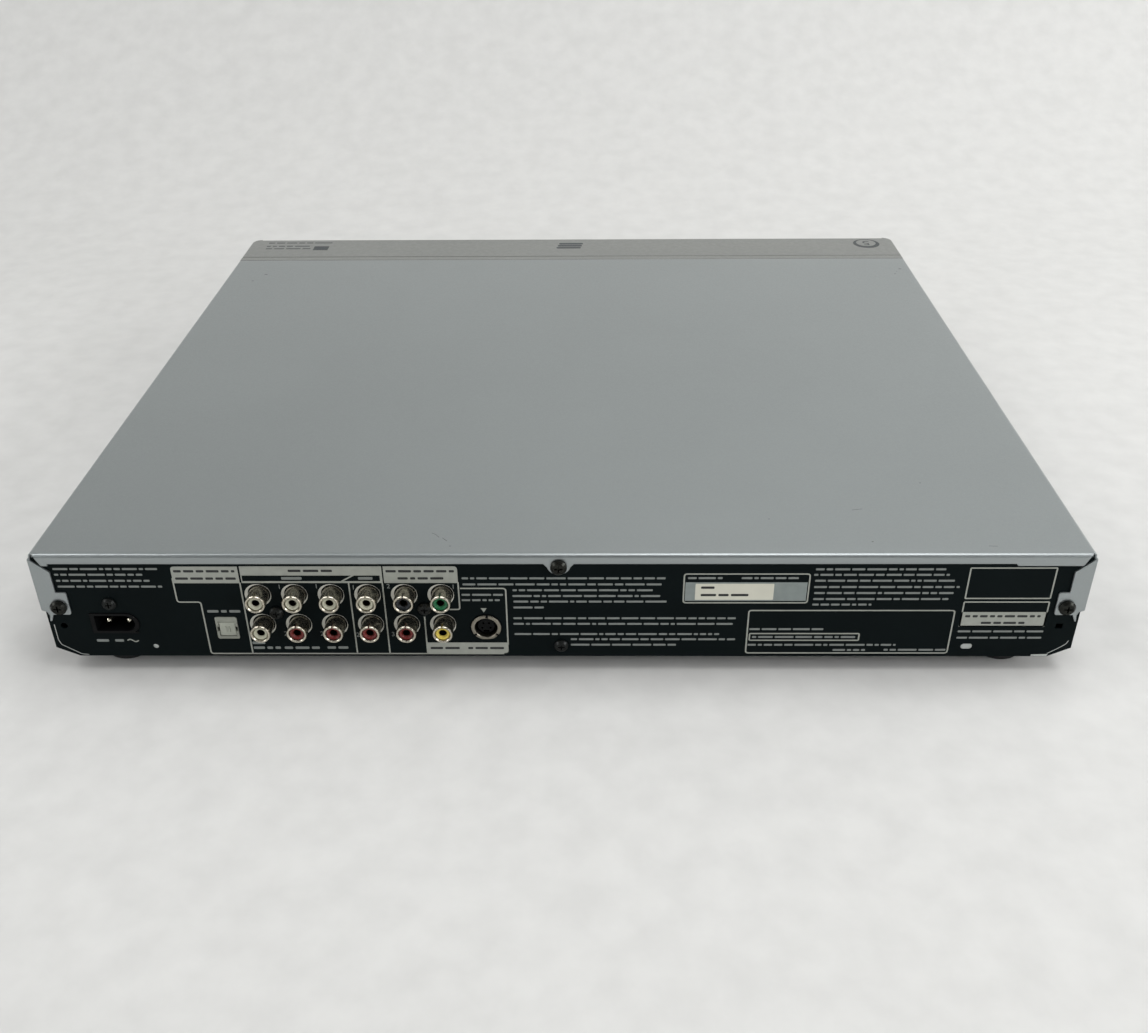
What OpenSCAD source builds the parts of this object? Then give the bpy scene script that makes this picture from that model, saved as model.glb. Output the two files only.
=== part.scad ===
// Slim five-disc player with a front tray, a carousel and a lifting disc drive.
// Millimetres, +Z up, the tray opens toward -Y and the sockets face +Y.
// The origin is on the floor, at the middle of the whole width and depth.

/* [Case] */
// Width over the top cover
body_w = 430; // [428:1:440]
// Height from the pan's underside to the cover's top
body_h = 51.7; // [51.7:0.1:54]
// Depth from the rear panel to the front of the buttons
body_d = 386; // [386:1:392]
// Height of the feet
foot_h = 7.3; // [6:0.1:9]
// Radius of a foot
foot_r = 11; // [10:0.5:14]
// Thickness of the cover's sheet
cover_t = 0.8; // [0.6:0.1:1]
// Thickness of the pan and the rear panel
pan_t = 1.0; // [0.8:0.1:1.2]
// Height of the cover's sides
cover_side_h = 28; // [24:1:34]
// Depth of the front bezel
bezel_d = 40.2; // [38:0.2:44]
// Wall thickness of the bezel
bezel_t = 2.5; // [2:0.1:3]
// Radius of the bezel's front corners
bezel_r = 6; // [3:0.5:8]

/* [Sockets] */
// How far the phono barrels stand out of the rear panel
jack_reach = 8; // [7:0.5:10]
// Outer diameter of a phono barrel
jack_d = 8.3; // [8:0.1:8.6]
// Spacing of the phono jacks
jack_pitch = 15.05; // [14:0.05:15.5]
// Place of the first phono column
jack_x = 123.6; // [120:0.1:126]
// Height of the lower phono row above the pan
jack_low = 17; // [16:0.5:18]
// Columns of phono jacks
jack_columns = 6; // [6:1:6]
// Place of the AC inlet
inlet_x = 186; // [184:0.5:188]
// Place of the optical socket
optical_x = 139.5; // [138:0.5:141]
// Place of the S-video socket
svideo_x = 31; // [29:0.5:33]
// Inner diameter of the S-video shell
svideo_d = 9.5; // [9.4:0.1:9.7]

/* [Tray and carousel] */
// Width of the tray over its side walls
tray_w = 350; // [348:1:350]
// Underside of the tray's floor
tray_z = 38; // [38:0.1:38.2]
// Number of disc pockets
pocket_count = 5; // [5:1:5]
// Radius of a pocket
pocket_r = 60.6; // [60.3:0.1:60.8]
// Distance of the pockets from the carousel's middle
pocket_at = 104; // [104:0.5:105]
// Radius of the carousel
carousel_r = 166; // [164:0.5:166]
// Width of the slot that lets the drive through a pocket
slot_w = 50; // [48:1:52]

/* [Drive] */
// Angle by which the traverse is lowered at rest
lift_angle = 7.7; // [7:0.1:8]
// Distance from the traverse hinge to the spindle
hinge_reach = 84; // [82:1:86]
// Diameter of the turntable
turntable_d = 30; // [28:1:32]
// Teeth on the carousel's ring gear
ring_teeth = 76; // [76:1:76]
// Teeth on the gear that drives the carousel
drive_teeth = 16; // [16:1:16]
// Teeth of the loading gear that run in the tray's rack
rack_gear_teeth = 24; // [24:1:24]
// Teeth of the loading gear's lower wheel
wheel_teeth = 44; // [44:1:44]
// Teeth of the pinion on the belt pulley
pinion_teeth = 17; // [17:1:17]

/* [Front] */
// Width of the tray door
door_w = 361.2; // [360:0.2:362]
// Height of the tray door
door_h = 18.7; // [18:0.1:19]
// Width of the display window
window_w = 150; // [120:1:156]
// Height of the display window
window_h = 15; // [12:0.5:16]
// How far a button stands out of the bezel
button_out = 0.8; // [0.6:0.1:1]
// Gap round a button
button_gap = 0.3; // [0.2:0.05:0.4]

/* [Hidden] */
$fn = 48;
// Overlap that keeps cuts clean
eps = 0.01;

// Main planes of the case
rear_y = (body_d + jack_reach) / 2 - jack_reach;
front_y = rear_y - body_d;
face_y = front_y + button_out;
top_z = foot_h + body_h;
pan_w = body_w - 2.4;
floor_z = foot_h + pan_t;
cover_front_y = face_y + bezel_d + 0.5;
// The pan's lower edges are bevelled
bevel_w = 9.3;
bevel_h = 4.5;
bevel_angle = atan(bevel_h / bevel_w);
// Sockets
inlet_z = 17.25;
inlet_w = 20;
inlet_h = 10;
optical_z = 14.7;
optical_w = 9.2;
optical_h = 11.2;
shutter_pin_z = 16.9;
shutter_pin_out = -0.85;
svideo_z = 15.3;
jack_row = 15.05;
jack_high = jack_low + jack_row;
jack_hole_r = 4.6;
// The barrel is narrower behind this distance out of the panel, and its rim is rolled inward
jack_neck = 0.3;
jack_neck_r = 3.9;
jack_lip = 0.5;
jack_lip_r = 3.12;
// The cover's rear flange is deeper at one end
flange_h = 4.3;
flange_low = 1;
flange_low_x = -183;
// Screw places on the rear, as X and height above the pan
cover_screw_at = [[207.4, 26], [-207.4, 26], [0.4, 46]];
panel_screw_at = [[186.4, 27.3], [117.6, 22.8], [56, 24.8], [-0.2, 5.8]];
// Mechanism
hinge_y = rear_y - 23;
hinge_z = 30;
play_y = hinge_y - hinge_reach;
carousel_y = play_y - pocket_at;
disc_z = 49;
plate_z = 37;
plate_t = 1.2;
rod_x = 27;
rod_z = 40;
rod_r = 1.5;
spindle_motor_r = 13.4;
sled_y = play_y + 24;
screw_x = 25;
screw_z = 31.8;
pin_x = 25;
pin_y = hinge_y - 111;
pin_z = 33.5;
// The lift slide's middle plane, and how high the pins cross it at rest
slide_y = pin_y - 0.5;
slide_t = 3;
pin_low = hinge_z + (pin_z - hinge_z) * cos(lift_angle)
    + (slide_y - hinge_y + (pin_z - hinge_z) * sin(lift_angle)) * tan(lift_angle);
lift_travel = 30;
lift_rise = pin_z - pin_low;
deck_z = 49.5;
ring_r = carousel_r + 2;
wall_front_y = carousel_y - ring_r - 2;
rail_z = 40;
rail_h = 2.5;
rail_w = 3.6;
mech_z = 20;
mech_t = 2;
side_x = 179.5;
leg_at = [[-172, -140], [-56, -140], [60, -140], [128, -140], [-56, -25], [60, -25], [124, -25],
    [-172, 130], [-62, 130], [62, 130], [124, 130]];
// Gears
pressure = 20;
gear_m = 1;
wheel_m = 0.8;
mesh_gap = 0.1;
drive_from = gear_m * (ring_teeth + drive_teeth) / 2 + mesh_gap;
drive_angle = 100;
drive_x = drive_from * cos(drive_angle);
drive_y = carousel_y + drive_from * sin(drive_angle);
loading_x = 98;
loading_y = -165;
rack_x = loading_x + gear_m * rack_gear_teeth / 2 + mesh_gap / 2;
pulley_from = wheel_m * (wheel_teeth + pinion_teeth) / 2 + mesh_gap;
pulley_x = loading_x - pulley_from;
motor_x = 42;
pulley_r = 10;
motor_pulley_r = 3;
belt_z = 25;
// Front
door_z = 33.4;
button_z = 20.5;
board_z = floor_z + 5;
board_t = 1.6;

// ---------- helpers ----------

// Children drawn in the XY plane stand on the rear panel's face: X stays, Y is height above the pan,
// and Z runs into the machine.
module on_rear(x = 0, z = 0, out = 0) {
    translate([x, rear_y + out, foot_h + z])
        rotate([90, 0, 0])
            children();
}

// Children drawn in the XY plane stand on the front face, with Z running into the machine.
module on_front(x = 0, z = 0, out = 0) {
    translate([x, face_y - out, z])
        rotate([-90, 0, 0])
            mirror([0, 1, 0])
                children();
}

// Children at their playing place, lowered about the traverse hinge.
module lowered() {
    translate([0, hinge_y, hinge_z])
        rotate([lift_angle, 0, 0])
            translate([0, -hinge_y, -hinge_z])
                children();
}

module tube(r_out, r_in, h) {
    difference() {
        cylinder(r = r_out, h = h);
        translate([0, 0, -1])
            cylinder(r = r_in, h = h + 2);
    }
}

// A centred rectangle with true round corners.
module round_rect(w, h, r) {
    square([w - 2 * r, h], center = true);
    square([w, h - 2 * r], center = true);
    for (x = [-1, 1], y = [-1, 1])
        translate([x * (w / 2 - r), y * (h / 2 - r)])
            circle(r);
}

module block(from, to) {
    translate(from)
        cube(to - from);
}

// A pan-head screw with a cross recess; its head stands on the plane z = 0 toward -Z.
module cross_screw(head_r, head_h, shank_r, shank) {
    difference() {
        union() {
            translate([0, 0, -head_h])
                cylinder(r1 = head_r * 0.72, r2 = head_r, h = head_h * 0.5);
            translate([0, 0, -head_h * 0.5])
                cylinder(r = head_r, h = head_h * 0.5);
            cylinder(r = shank_r, h = shank);
        }
        for (a = [0, 90])
            rotate(a)
                translate([-head_r * 0.5, -head_r * 0.1, -head_h - 1])
                    cube([head_r, head_r * 0.2, 1 + head_h * 0.7]);
    }
}

function rad(a) = a * PI / 180;
function inv(a) = tan(a) - rad(a);
// Half the angle of a tooth at radius r, in degrees
function tooth_half(z, m, r, slack) =
    90 / z - slack + (inv(pressure) - inv(acos(min(1, m * z / 2 * cos(pressure) / r)))) * 180 / PI;

// Outline of an involute gear, its first tooth on the X axis.
module gear_2d(z, m, slack = 0.35) {
    base_r = m * z / 2 * cos(pressure);
    root_r = m * z / 2 - 1.2 * m;
    tip_r = m * z / 2 + 0.9 * m;
    low_r = max(base_r, root_r);
    steps = 3;
    radii = [for (i = [0 : steps]) low_r + (tip_r - low_r) * i / steps];
    flank = [for (r = radii) [r, tooth_half(z, m, r, slack)]];
    foot = root_r < low_r ? [[root_r, flank[0][1]]] : [];
    up = concat(foot, flank);
    last = len(up) - 1;
    polygon([for (k = [0 : z - 1], i = [0 : 2 * last + 1])
        let (p = i <= last ? up[i] : up[2 * last + 1 - i], side = i <= last ? -1 : 1)
        p[0] * [cos(k * 360 / z + side * p[1]), sin(k * 360 / z + side * p[1])]]);
}

// Outline of a rack along Y whose teeth point toward -X from the pitch line x = 0.
module rack_2d(length, m, slack = 0.06) {
    p = PI * m;
    n = floor(length / p);
    half = p / 4 - slack;
    lean = tan(pressure);
    polygon(concat([[1.2 * m + 3.5, 0], [1.2 * m, 0]],
        [for (k = [0 : n - 1], c = [[1.2, -1], [-0.9, -1], [-0.9, 1], [1.2, 1]])
            [c[0] * m, (k + 0.5) * p + c[1] * (half + c[0] * m * lean)]],
        [[1.2 * m, n * p], [1.2 * m + 3.5, n * p]]));
}

// Places of the phono jacks, column by column; row 0 is the upper one.
function jack_place(column, row) = [jack_x - column * jack_pitch, row == 0 ? jack_high : jack_low];
all_jacks = [for (c = [0 : jack_columns - 1], r = [0, 1]) jack_place(c, r)];

// ---------- case ----------

// Cross-section of the pan, drawn as X and height above its underside.
module pan_outline(inset, height) {
    floor_x = pan_w / 2 - bevel_w - inset * tan(bevel_angle / 2);
    wall_x = pan_w / 2 - inset;
    wall_z = bevel_h + inset * tan(45 - bevel_angle / 2);
    polygon([[-wall_x, height], [-wall_x, wall_z], [-floor_x, inset],
        [floor_x, inset], [wall_x, wall_z], [wall_x, height]]);
}

module chassis_pan() {
    pan_front_y = face_y + bezel_d;
    length = rear_y - pan_t - pan_front_y;
    bead_at = [-120, -60, 120];
    boss_at = concat([for (x = [-200, -70], y = [-90, 90]) [x, y]],
        [for (x = [146, 204], y = [-10, 160]) [x, y]], [[32, 160], [120, 155]]);
    color([0.10, 0.11, 0.11])
    difference() {
        union() {
            // folded floor and sides
            on_rear(out = -pan_t)
                linear_extrude(length)
                    difference() {
                        pan_outline(0, 44);
                        pan_outline(pan_t, 45);
                    }
            // low front wall
            translate([0, pan_front_y + pan_t, foot_h])
                rotate([90, 0, 0])
                    linear_extrude(pan_t)
                        intersection() {
                            pan_outline(0, 12);
                            translate([-body_w / 2, 0])
                                square([body_w, 12]);
                        }
            // bosses that carry the boards
            for (p = boss_at)
                translate([p[0], p[1], floor_z])
                    cylinder(r1 = 4.5, r2 = 3, h = 5);
            // stiffening beads
            for (y = bead_at)
                translate([-60, y - 3, floor_z])
                    cube([110, 6, 0.8]);
        }
        // beads and bosses are pressed up from below
        for (y = bead_at)
            translate([-59, y - 2, foot_h - 1])
                cube([108, 4, 1.6]);
        for (p = boss_at)
            translate([p[0], p[1], foot_h - 1])
                cylinder(r = 3, h = 1.6);
        // notch round the loading motor
        block([motor_x - 14, pan_front_y - 1, floor_z], [motor_x + 14, pan_front_y + 2, foot_h + 13]);
        // vents in the floor
        for (i = [0 : 11], y = [20, 70])
            translate([150 + i * 4, y, foot_h - 1])
                cube([2, 30, 4]);
        // vents in the sides
        for (i = [0 : 13], side = [-1, 1])
            translate([side * pan_w / 2 - 2, 20 + i * 6, foot_h + 9])
                cube([4, 2.4, 10]);
    }
}

module inlet_outline(w, h) {
    translate([inlet_x - w / 2 + h / 2, inlet_z])
        circle(d = h);
    translate([inlet_x - w / 2 + h / 2, inlet_z - h / 2])
        square([w - h / 2, h]);
}

module rear_panel() {
    color([0.08, 0.09, 0.09])
    on_rear()
        linear_extrude(pan_t)
            difference() {
                intersection() {
                    pan_outline(0, 50);
                    translate([-body_w / 2, 0])
                        square([body_w, 50]);
                }
                inlet_outline(inlet_w + 0.4, inlet_h + 0.4);
                translate([optical_x, optical_z])
                    round_rect(optical_w + 0.4, optical_h + 0.4, 1);
                for (p = all_jacks)
                    translate(p)
                        circle(jack_hole_r);
                translate([svideo_x, svideo_z])
                    circle(6.6);
                for (p = panel_screw_at)
                    translate(p)
                        circle(1.6);
                for (p = cover_screw_at)
                    translate(p)
                        circle(1.6);
                // locating holes and a slot
                translate([207.9, 15.8])
                    circle(1.5);
                translate([-206.6, 15.8])
                    square([3, 2.6], center = true);
                translate([171.3, 5])
                    circle(1.2);
                translate([-170.1, 5.1])
                    round_rect(5, 3, 1.4);
            }
}

// Side view of the cover's skin, with a rounded bend at the rear.
module cover_side_profile(inset) {
    bend = 1.6 - inset;
    back = rear_y + cover_t - inset;
    top = top_z - inset;
    translate([cover_front_y, 0])
        square([back - bend - cover_front_y, top]);
    translate([cover_front_y, 0])
        square([back - cover_front_y, top - bend]);
    translate([back - bend, top - bend])
        circle(bend);
}

// End view of the cover's skin, with rounded upper corners.
module cover_end_profile(inset) {
    bend = 1.8 - inset;
    half = body_w / 2 - inset;
    top = top_z - inset;
    translate([-half + bend, 0])
        square([2 * (half - bend), top]);
    translate([-half, 0])
        square([2 * half, top - bend]);
    for (side = [-1, 1])
        translate([side * (half - bend), top - bend])
            circle(bend);
}

module cover_form(inset) {
    intersection() {
        rotate([90, 0, 90])
            translate([0, 0, -body_w])
                linear_extrude(2 * body_w)
                    cover_side_profile(inset);
        rotate([90, 0, 0])
            translate([0, 0, -body_d])
                linear_extrude(2 * body_d)
                    cover_end_profile(inset);
    }
}

// What is cut out of the cover's folded rear edge, seen from behind.
module rear_cutout() {
    low = body_h - flange_h;
    side_in = 207.3;
    tab_in = 203;
    tab_out = 210;
    tab_low = 22.1;
    tab_high = 33.2;
    // middle screw tab, flared where it leaves the flange
    middle_x = 0.4;
    middle_r = 4.9;
    middle_z = 47.1;
    difference() {
        translate([-body_w / 2 - 5, -20])
            square([body_w + 10, 20 + low]);
        translate([middle_x, middle_z])
            circle(middle_r);
        translate([middle_x, low])
            polygon([[-6.3, 0.1], [-middle_r, -1.5], [middle_r, -1.5], [6.3, 0.1]]);
        // deeper end of the flange
        polygon([[flange_low_x, low + eps], [flange_low_x - 0.8, low - flange_low],
            [-body_w / 2, low - flange_low], [-body_w / 2, low + eps]]);
        for (side = [-1, 1])
            mirror([side < 0 ? 1 : 0, 0]) {
                // narrow side flange below the mitre
                polygon([[side_in, tab_low], [212.4, tab_low], [212.8, 23.4],
                    [body_w / 2 + 5, 26.6], [body_w / 2 + 5, 52], [side_in, 52]]);
                // screw tab
                translate([(tab_in + tab_out) / 2, (tab_low + tab_high) / 2])
                    round_rect(tab_out - tab_in, tab_high - tab_low, 1);
                // stop that hooks over the panel's edge
                polygon([[210.6, tab_low + eps], [212.2, tab_low + eps], [212.6, 18.8],
                    [211.9, 18.8]]);
            }
    }
    // mitres at the two upper corners
    for (side = [-1, 1])
        mirror([side < 0 ? 1 : 0, 0])
            polygon([[side_in - 0.5, 42.9], [body_w / 2 + 1, 50.7], [body_w / 2 + 1, body_h + 1],
                [213.2, body_h + 1], [210, low - flange_low - eps],
                [side_in - 0.5, low - flange_low - eps]]);
}

// Relief cut where the folds of the cover's corner meet.
module corner_relief() {
    for (side = [-1, 1])
        mirror([side < 0 ? 1 : 0, 0])
            polygon([[213.2, 49.6], [body_w / 2 + 1, 49.6], [body_w / 2 + 1, body_h + 1],
                [213.2, body_h + 1]]);
}

module top_cover() {
    side_low = foot_h + body_h - cover_side_h;
    color([0.62, 0.64, 0.64])
    difference() {
        cover_form(0);
        difference() {
            cover_form(cover_t);
            translate([-body_w, rear_y, 0])
                cube([2 * body_w, 20, 100]);
        }
        // open front and underside
        translate([-body_w, cover_front_y - 10, -1])
            cube([2 * body_w, 10, 100]);
        translate([-body_w, -body_d, -1])
            cube([2 * body_w, rear_y + body_d, side_low + 1]);
        // keeps the skin's thickness at the front edge
        translate([0, cover_front_y + 5, 0])
            rotate([90, 0, 0])
                linear_extrude(10)
                    intersection() {
                        cover_end_profile(cover_t);
                        translate([-body_w, 0])
                            square([2 * body_w, 100]);
                    }
        on_rear(out = 10)
            linear_extrude(10 + eps)
                rear_cutout();
        on_rear(out = 10)
            linear_extrude(11)
                corner_relief();
        for (p = cover_screw_at)
            on_rear(p[0], p[1], 10)
                cylinder(r = 1.7, h = 12);
    }
}

module bezel_plan(inset) {
    half = body_w / 2 - 0.8 - inset;
    r = bezel_r - inset;
    back = face_y + bezel_d;
    translate([-half + r, face_y + inset])
        square([2 * (half - r), r]);
    translate([-half, face_y + inset + r])
        square([2 * half, back - face_y - inset - r]);
    for (side = [-1, 1])
        translate([side * (half - r), face_y + inset + r])
            circle(r);
}

// What a button hole removes from the bezel.
module button_hole(shape) {
    on_front(out = 1)
        linear_extrude(bezel_t + 2)
            translate([shape[0], button_z])
                round_rect(shape[1] + 2 * button_gap, shape[2] + 2 * button_gap,
                    shape[3] + button_gap);
}

// Each button as its X, width, height and corner radius.
power_shape = [-190, 13, 13, 6.49];
skip_back_shape = [96, 14, 8, 2];
skip_next_shape = [114, 14, 8, 2];
stop_shape = [132, 14, 8, 2];
play_shape = [150, 14, 8, 2];
disc_shape = [170, 16, 8, 2];
open_shape = [192, 18, 8, 2];
all_buttons = [power_shape, skip_back_shape, skip_next_shape, stop_shape, play_shape, disc_shape,
    open_shape];

module front_bezel() {
    edge = 1.5;
    color([0.60, 0.60, 0.59])
    difference() {
        translate([0, 0, foot_h])
            linear_extrude(body_h)
                bezel_plan(0);
        // hollow, open to the rear
        difference() {
            translate([0, 0, foot_h + bezel_t])
                linear_extrude(body_h - 2 * bezel_t)
                    bezel_plan(bezel_t);
            // clip posts
            for (x = [-205, 205])
                translate([x - 2, face_y, foot_h])
                    cube([4, bezel_d - 4, 8]);
        }
        translate([-body_w / 2 + 0.8 + bezel_t, face_y + bezel_d - 1, foot_h + bezel_t])
            cube([body_w - 1.6 - 2 * bezel_t, 2, body_h - 2 * bezel_t]);
        // rounded upper front edge
        translate([0, face_y + edge, top_z - edge])
            rotate([90, 0, 90])
                translate([0, 0, -body_w / 2 + bezel_r])
                    linear_extrude(body_w - 2 * bezel_r)
                        difference() {
                            translate([-edge - 1, 0])
                                square([edge + 1, edge + 1]);
                            circle(edge);
                        }
        // groove along the top
        translate([-body_w, face_y + bezel_d - 6.2, top_z - 0.5])
            cube([2 * body_w, 0.8, 1]);
        // tray opening
        on_front(z = door_z + door_h / 2, out = 1)
            linear_extrude(bezel_t + 2)
                round_rect(door_w + 0.8, door_h + 0.8, 1);
        // window
        on_front(z = button_z, out = 1)
            linear_extrude(bezel_t + 2)
                round_rect(window_w, window_h, 2);
        for (shape = all_buttons)
            button_hole(shape);
    }
}

module display_window() {
    color([0.05, 0.06, 0.07]) {
        on_front(z = button_z)
            linear_extrude(bezel_t)
                round_rect(window_w - 0.4, window_h - 0.4, 1.8);
        on_front(z = button_z, out = -bezel_t)
            linear_extrude(1.2)
                round_rect(window_w + 5, window_h + 4, 2);
    }
}

module feet() {
    color([0.08, 0.08, 0.08])
    for (x = [-189, 189], y = [rear_y - 16.5, -140])
        translate([x, y, 0])
            rotate_extrude($fn = 64)
                polygon([[0, 2], [foot_r - 5, 2], [foot_r - 4.4, 0], [foot_r - 1.6, 0],
                    [foot_r - 1, 0.6], [foot_r, foot_h], [0, foot_h]]);
}

module cover_screws() {
    color([0.28, 0.29, 0.29])
    for (p = cover_screw_at)
        on_rear(p[0], p[1], cover_t)
            cross_screw(3.4, 1.9, 1.45, 7);
}

module panel_screws() {
    color([0.06, 0.06, 0.06])
    for (p = panel_screw_at)
        on_rear(p[0], p[1])
            cross_screw(2.9, 1.7, 1.4, 2.6);
}

// ---------- sockets ----------

module ac_inlet() {
    color([0.05, 0.05, 0.05])
    difference() {
        union() {
            on_rear(out = 0.4)
                linear_extrude(4)
                    inlet_outline(inlet_w, inlet_h);
            // lip under the rim
            on_rear(out = 0.4)
                linear_extrude(0.38)
                    translate([inlet_x - inlet_w / 2 + 1, inlet_z - inlet_h / 2])
                        square([inlet_w / 2, 0.7]);
            on_rear(out = -pan_t)
                linear_extrude(16)
                    translate([inlet_x, inlet_z - 0.5])
                        square([inlet_w + 6, inlet_h + 6], center = true);
        }
        on_rear(out = 1)
            linear_extrude(12)
                inlet_outline(inlet_w - 3.4, inlet_h - 2.2);
        inlet_pin_pair();
    }
}

module inlet_pin_pair() {
    for (x = [-4.3, 4.3])
        on_rear(inlet_x - 0.9 + x, inlet_z, -1.5)
            rotate_extrude()
                polygon([[0, 0], [0.5, 0.1], [0.9, 0.4], [1.2, 1.1], [1.2, 18], [0, 18]]);
}

module inlet_pins() {
    color([0.75, 0.68, 0.45])
        inlet_pin_pair();
}

module optical_socket() {
    color([0.58, 0.60, 0.60])
    difference() {
        union() {
            on_rear(optical_x, optical_z)
                linear_extrude(3)
                    round_rect(optical_w, optical_h, 0.8);
            on_rear(optical_x, optical_z - 1, -pan_t)
                linear_extrude(13)
                    square([optical_w + 3, optical_h + 4], center = true);
        }
        // plug cavity
        on_rear(optical_x, optical_z - 0.6, 1)
            linear_extrude(10)
                square([7, 7.6], center = true);
        // light guide bore
        on_rear(optical_x, optical_z - 0.6, 0)
            cylinder(r = 1.1, h = 12);
        // bearings of the shutter's pin
        shutter_pin(0.58, 8);
        // latch notches
        for (x = [-3.9, 3.9])
            on_rear(optical_x + x, optical_z - 0.6, 1)
                linear_extrude(4)
                    square([0.9, 2.4], center = true);
    }
}

// The shutter hangs on a pin at its top edge.
module shutter_pin(r, length) {
    on_rear(optical_x - length / 2, shutter_pin_z, shutter_pin_out)
        rotate([0, 90, 0])
            cylinder(r = r, h = length);
}

module optical_shutter() {
    color([0.66, 0.68, 0.68]) {
        on_rear(optical_x, optical_z - 0.85, -0.4)
            linear_extrude(0.9)
                square([6.5, 6.6], center = true);
        // two upright ribs
        for (x = [-0.7, 0.7])
            on_rear(optical_x + x, optical_z - 0.85, -0.1)
                linear_extrude(0.4)
                    square([0.5, 2.6], center = true);
        shutter_pin(0.5, 7.8);
    }
}

module jack_block() {
    width = (jack_columns - 1) * jack_pitch + 14;
    middle = jack_x - (jack_columns - 1) * jack_pitch / 2;
    color([0.05, 0.05, 0.06])
    difference() {
        on_rear(middle, (jack_low + jack_high) / 2, -pan_t)
            linear_extrude(13)
                round_rect(width, jack_row + 13, 1);
        for (p = all_jacks)
            on_rear(p[0], p[1])
                cylinder(r = jack_neck_r + 0.03, h = 9.5);
        for (p = panel_screw_at)
            on_rear(p[0], p[1], 1)
                cylinder(r = 1.8, h = 8);
    }
}

// Each barrel is a rolled tube, with its seam at the top.
module jack_barrels() {
    r = jack_d / 2;
    neck = jack_reach - jack_neck;
    color([0.80, 0.79, 0.74])
    for (p = all_jacks)
        on_rear(p[0], p[1], jack_reach)
            difference() {
                rotate_extrude()
                    polygon([[jack_lip_r, 0.4], [r - 0.75, 0.06], [r - 0.45, 0], [r - 0.2, 0.12],
                        [r, jack_lip], [r, neck], [jack_neck_r, neck + 0.2],
                        [jack_neck_r, jack_reach + 9], [jack_lip_r, jack_reach + 9]]);
                translate([-0.25, jack_lip_r - 1, -1])
                    cube([0.5, 3, 4]);
            }
}

// Insulators, dished round the hole for the plug's pin.
module jack_inserts(places) {
    r = jack_lip_r - 0.02;
    for (p = places)
        on_rear(p[0], p[1], jack_reach)
            rotate_extrude()
                polygon([[1.6, 1.7], [2, 1.1], [2.7, 0.75], [r - 0.3, 0.8], [r, 1.3],
                    [r, jack_reach + 8], [1.6, jack_reach + 8]]);
}

module jacks_white() {
    color([0.86, 0.86, 0.82])
        jack_inserts(concat([for (c = [0 : 3]) jack_place(c, 0)], [jack_place(0, 1)]));
}

module jacks_red() {
    color([0.62, 0.10, 0.10])
        jack_inserts([for (c = [1 : 4]) jack_place(c, 1)]);
}

module jacks_black() {
    color([0.06, 0.07, 0.12])
        jack_inserts([jack_place(4, 0)]);
}

module jacks_green() {
    color([0.10, 0.42, 0.24])
        jack_inserts([jack_place(5, 0)]);
}

module jacks_yellow() {
    color([0.85, 0.72, 0.15])
        jack_inserts([jack_place(5, 1)]);
}

module svideo_socket() {
    bore = svideo_d / 2 + 0.25;
    color([0.05, 0.05, 0.06]) {
        difference() {
            union() {
                on_rear(svideo_x, svideo_z, 0.3)
                    cylinder(r = 6.3, h = 4);
                on_rear(svideo_x, svideo_z - 0.4, -pan_t)
                    linear_extrude(12)
                        square([14, 14], center = true);
            }
            on_rear(svideo_x, svideo_z, 1)
                cylinder(r = bore, h = 9);
        }
        // insulator with four contact holes and a key
        on_rear(svideo_x, svideo_z, -0.8)
            difference() {
                cylinder(r = 3.5, h = 8);
                for (p = [[-1.7, -1.1], [1.7, -1.1], [-1.2, 1.3], [1.2, 1.3]])
                    translate([p[0], p[1], -1])
                        cylinder(r = 0.5, h = 6);
                translate([-1.2, -3.2, -1])
                    cube([2.4, 1, 6]);
            }
    }
}

// Metal shell with a rim that is split at the top and on both sides of its flat lower edge.
module svideo_shell() {
    r = svideo_d / 2;
    color([0.75, 0.75, 0.72])
    on_rear(svideo_x, svideo_z, 0.9)
        difference() {
            rotate_extrude()
                polygon([[r, 0.2], [r + 0.2, 0], [r + 1.2, 0.1], [r + 1.5, 0.3], [r + 1.5, 0.58],
                    [r + 0.25, 0.58], [r + 0.25, 8.4], [r, 8.4]]);
            for (a = [95, 218, 322])
                rotate(a)
                    translate([r + 0.3, -0.5, -1])
                        cube([3, 1, 3]);
            translate([-4, -r - 3, -1])
                cube([8, 2, 3]);
        }
}

// ---------- electronics ----------

module board(from, size, holes) {
    difference() {
        translate([from[0], from[1], board_z])
            cube([size[0], size[1], board_t]);
        for (p = holes)
            translate([p[0], p[1], board_z - 1])
                cylinder(r = 1.7, h = board_t + 2);
    }
}

module main_board() {
    color([0.12, 0.32, 0.20]) {
        board([-206, -98], [142, 196], [for (x = [-200, -70], y = [-90, 90]) [x, y]]);
        board([20, 150], [110, rear_y - 165], [[32, 160], [120, 155]]);
    }
}

module board_chips() {
    z = board_z + board_t;
    color([0.10, 0.10, 0.11]) {
        block([-150, -20, z], [-122, 8, z + 2.4]);
        block([-190, 30, z], [-174, 42, z + 1.6]);
        block([-110, 20, z], [-98, 40, z + 1.6]);
        block([-110, -50, z], [-98, -30, z + 1.6]);
        for (i = [0 : 4])
            block([-195 + i * 24, -80, z], [-183 + i * 24, -72, z + 3]);
        for (x = [136, 148])
            block([x, 120, z], [x + 8, 134, z + 3]);
    }
}

module power_board() {
    color([0.55, 0.42, 0.24])
        board([136, -20], [72, 189], [for (x = [146, 204], y = [-10, 160]) [x, y]]);
}

module transformer() {
    z = board_z + board_t;
    color([0.80, 0.72, 0.30]) {
        block([186, 110, z + 3], [206, 136, z + 21]);
        block([189, 106, z], [203, 140, z + 3]);
        translate([196, 123, z + 3])
            cylinder(r = 8, h = 22);
    }
}

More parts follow.
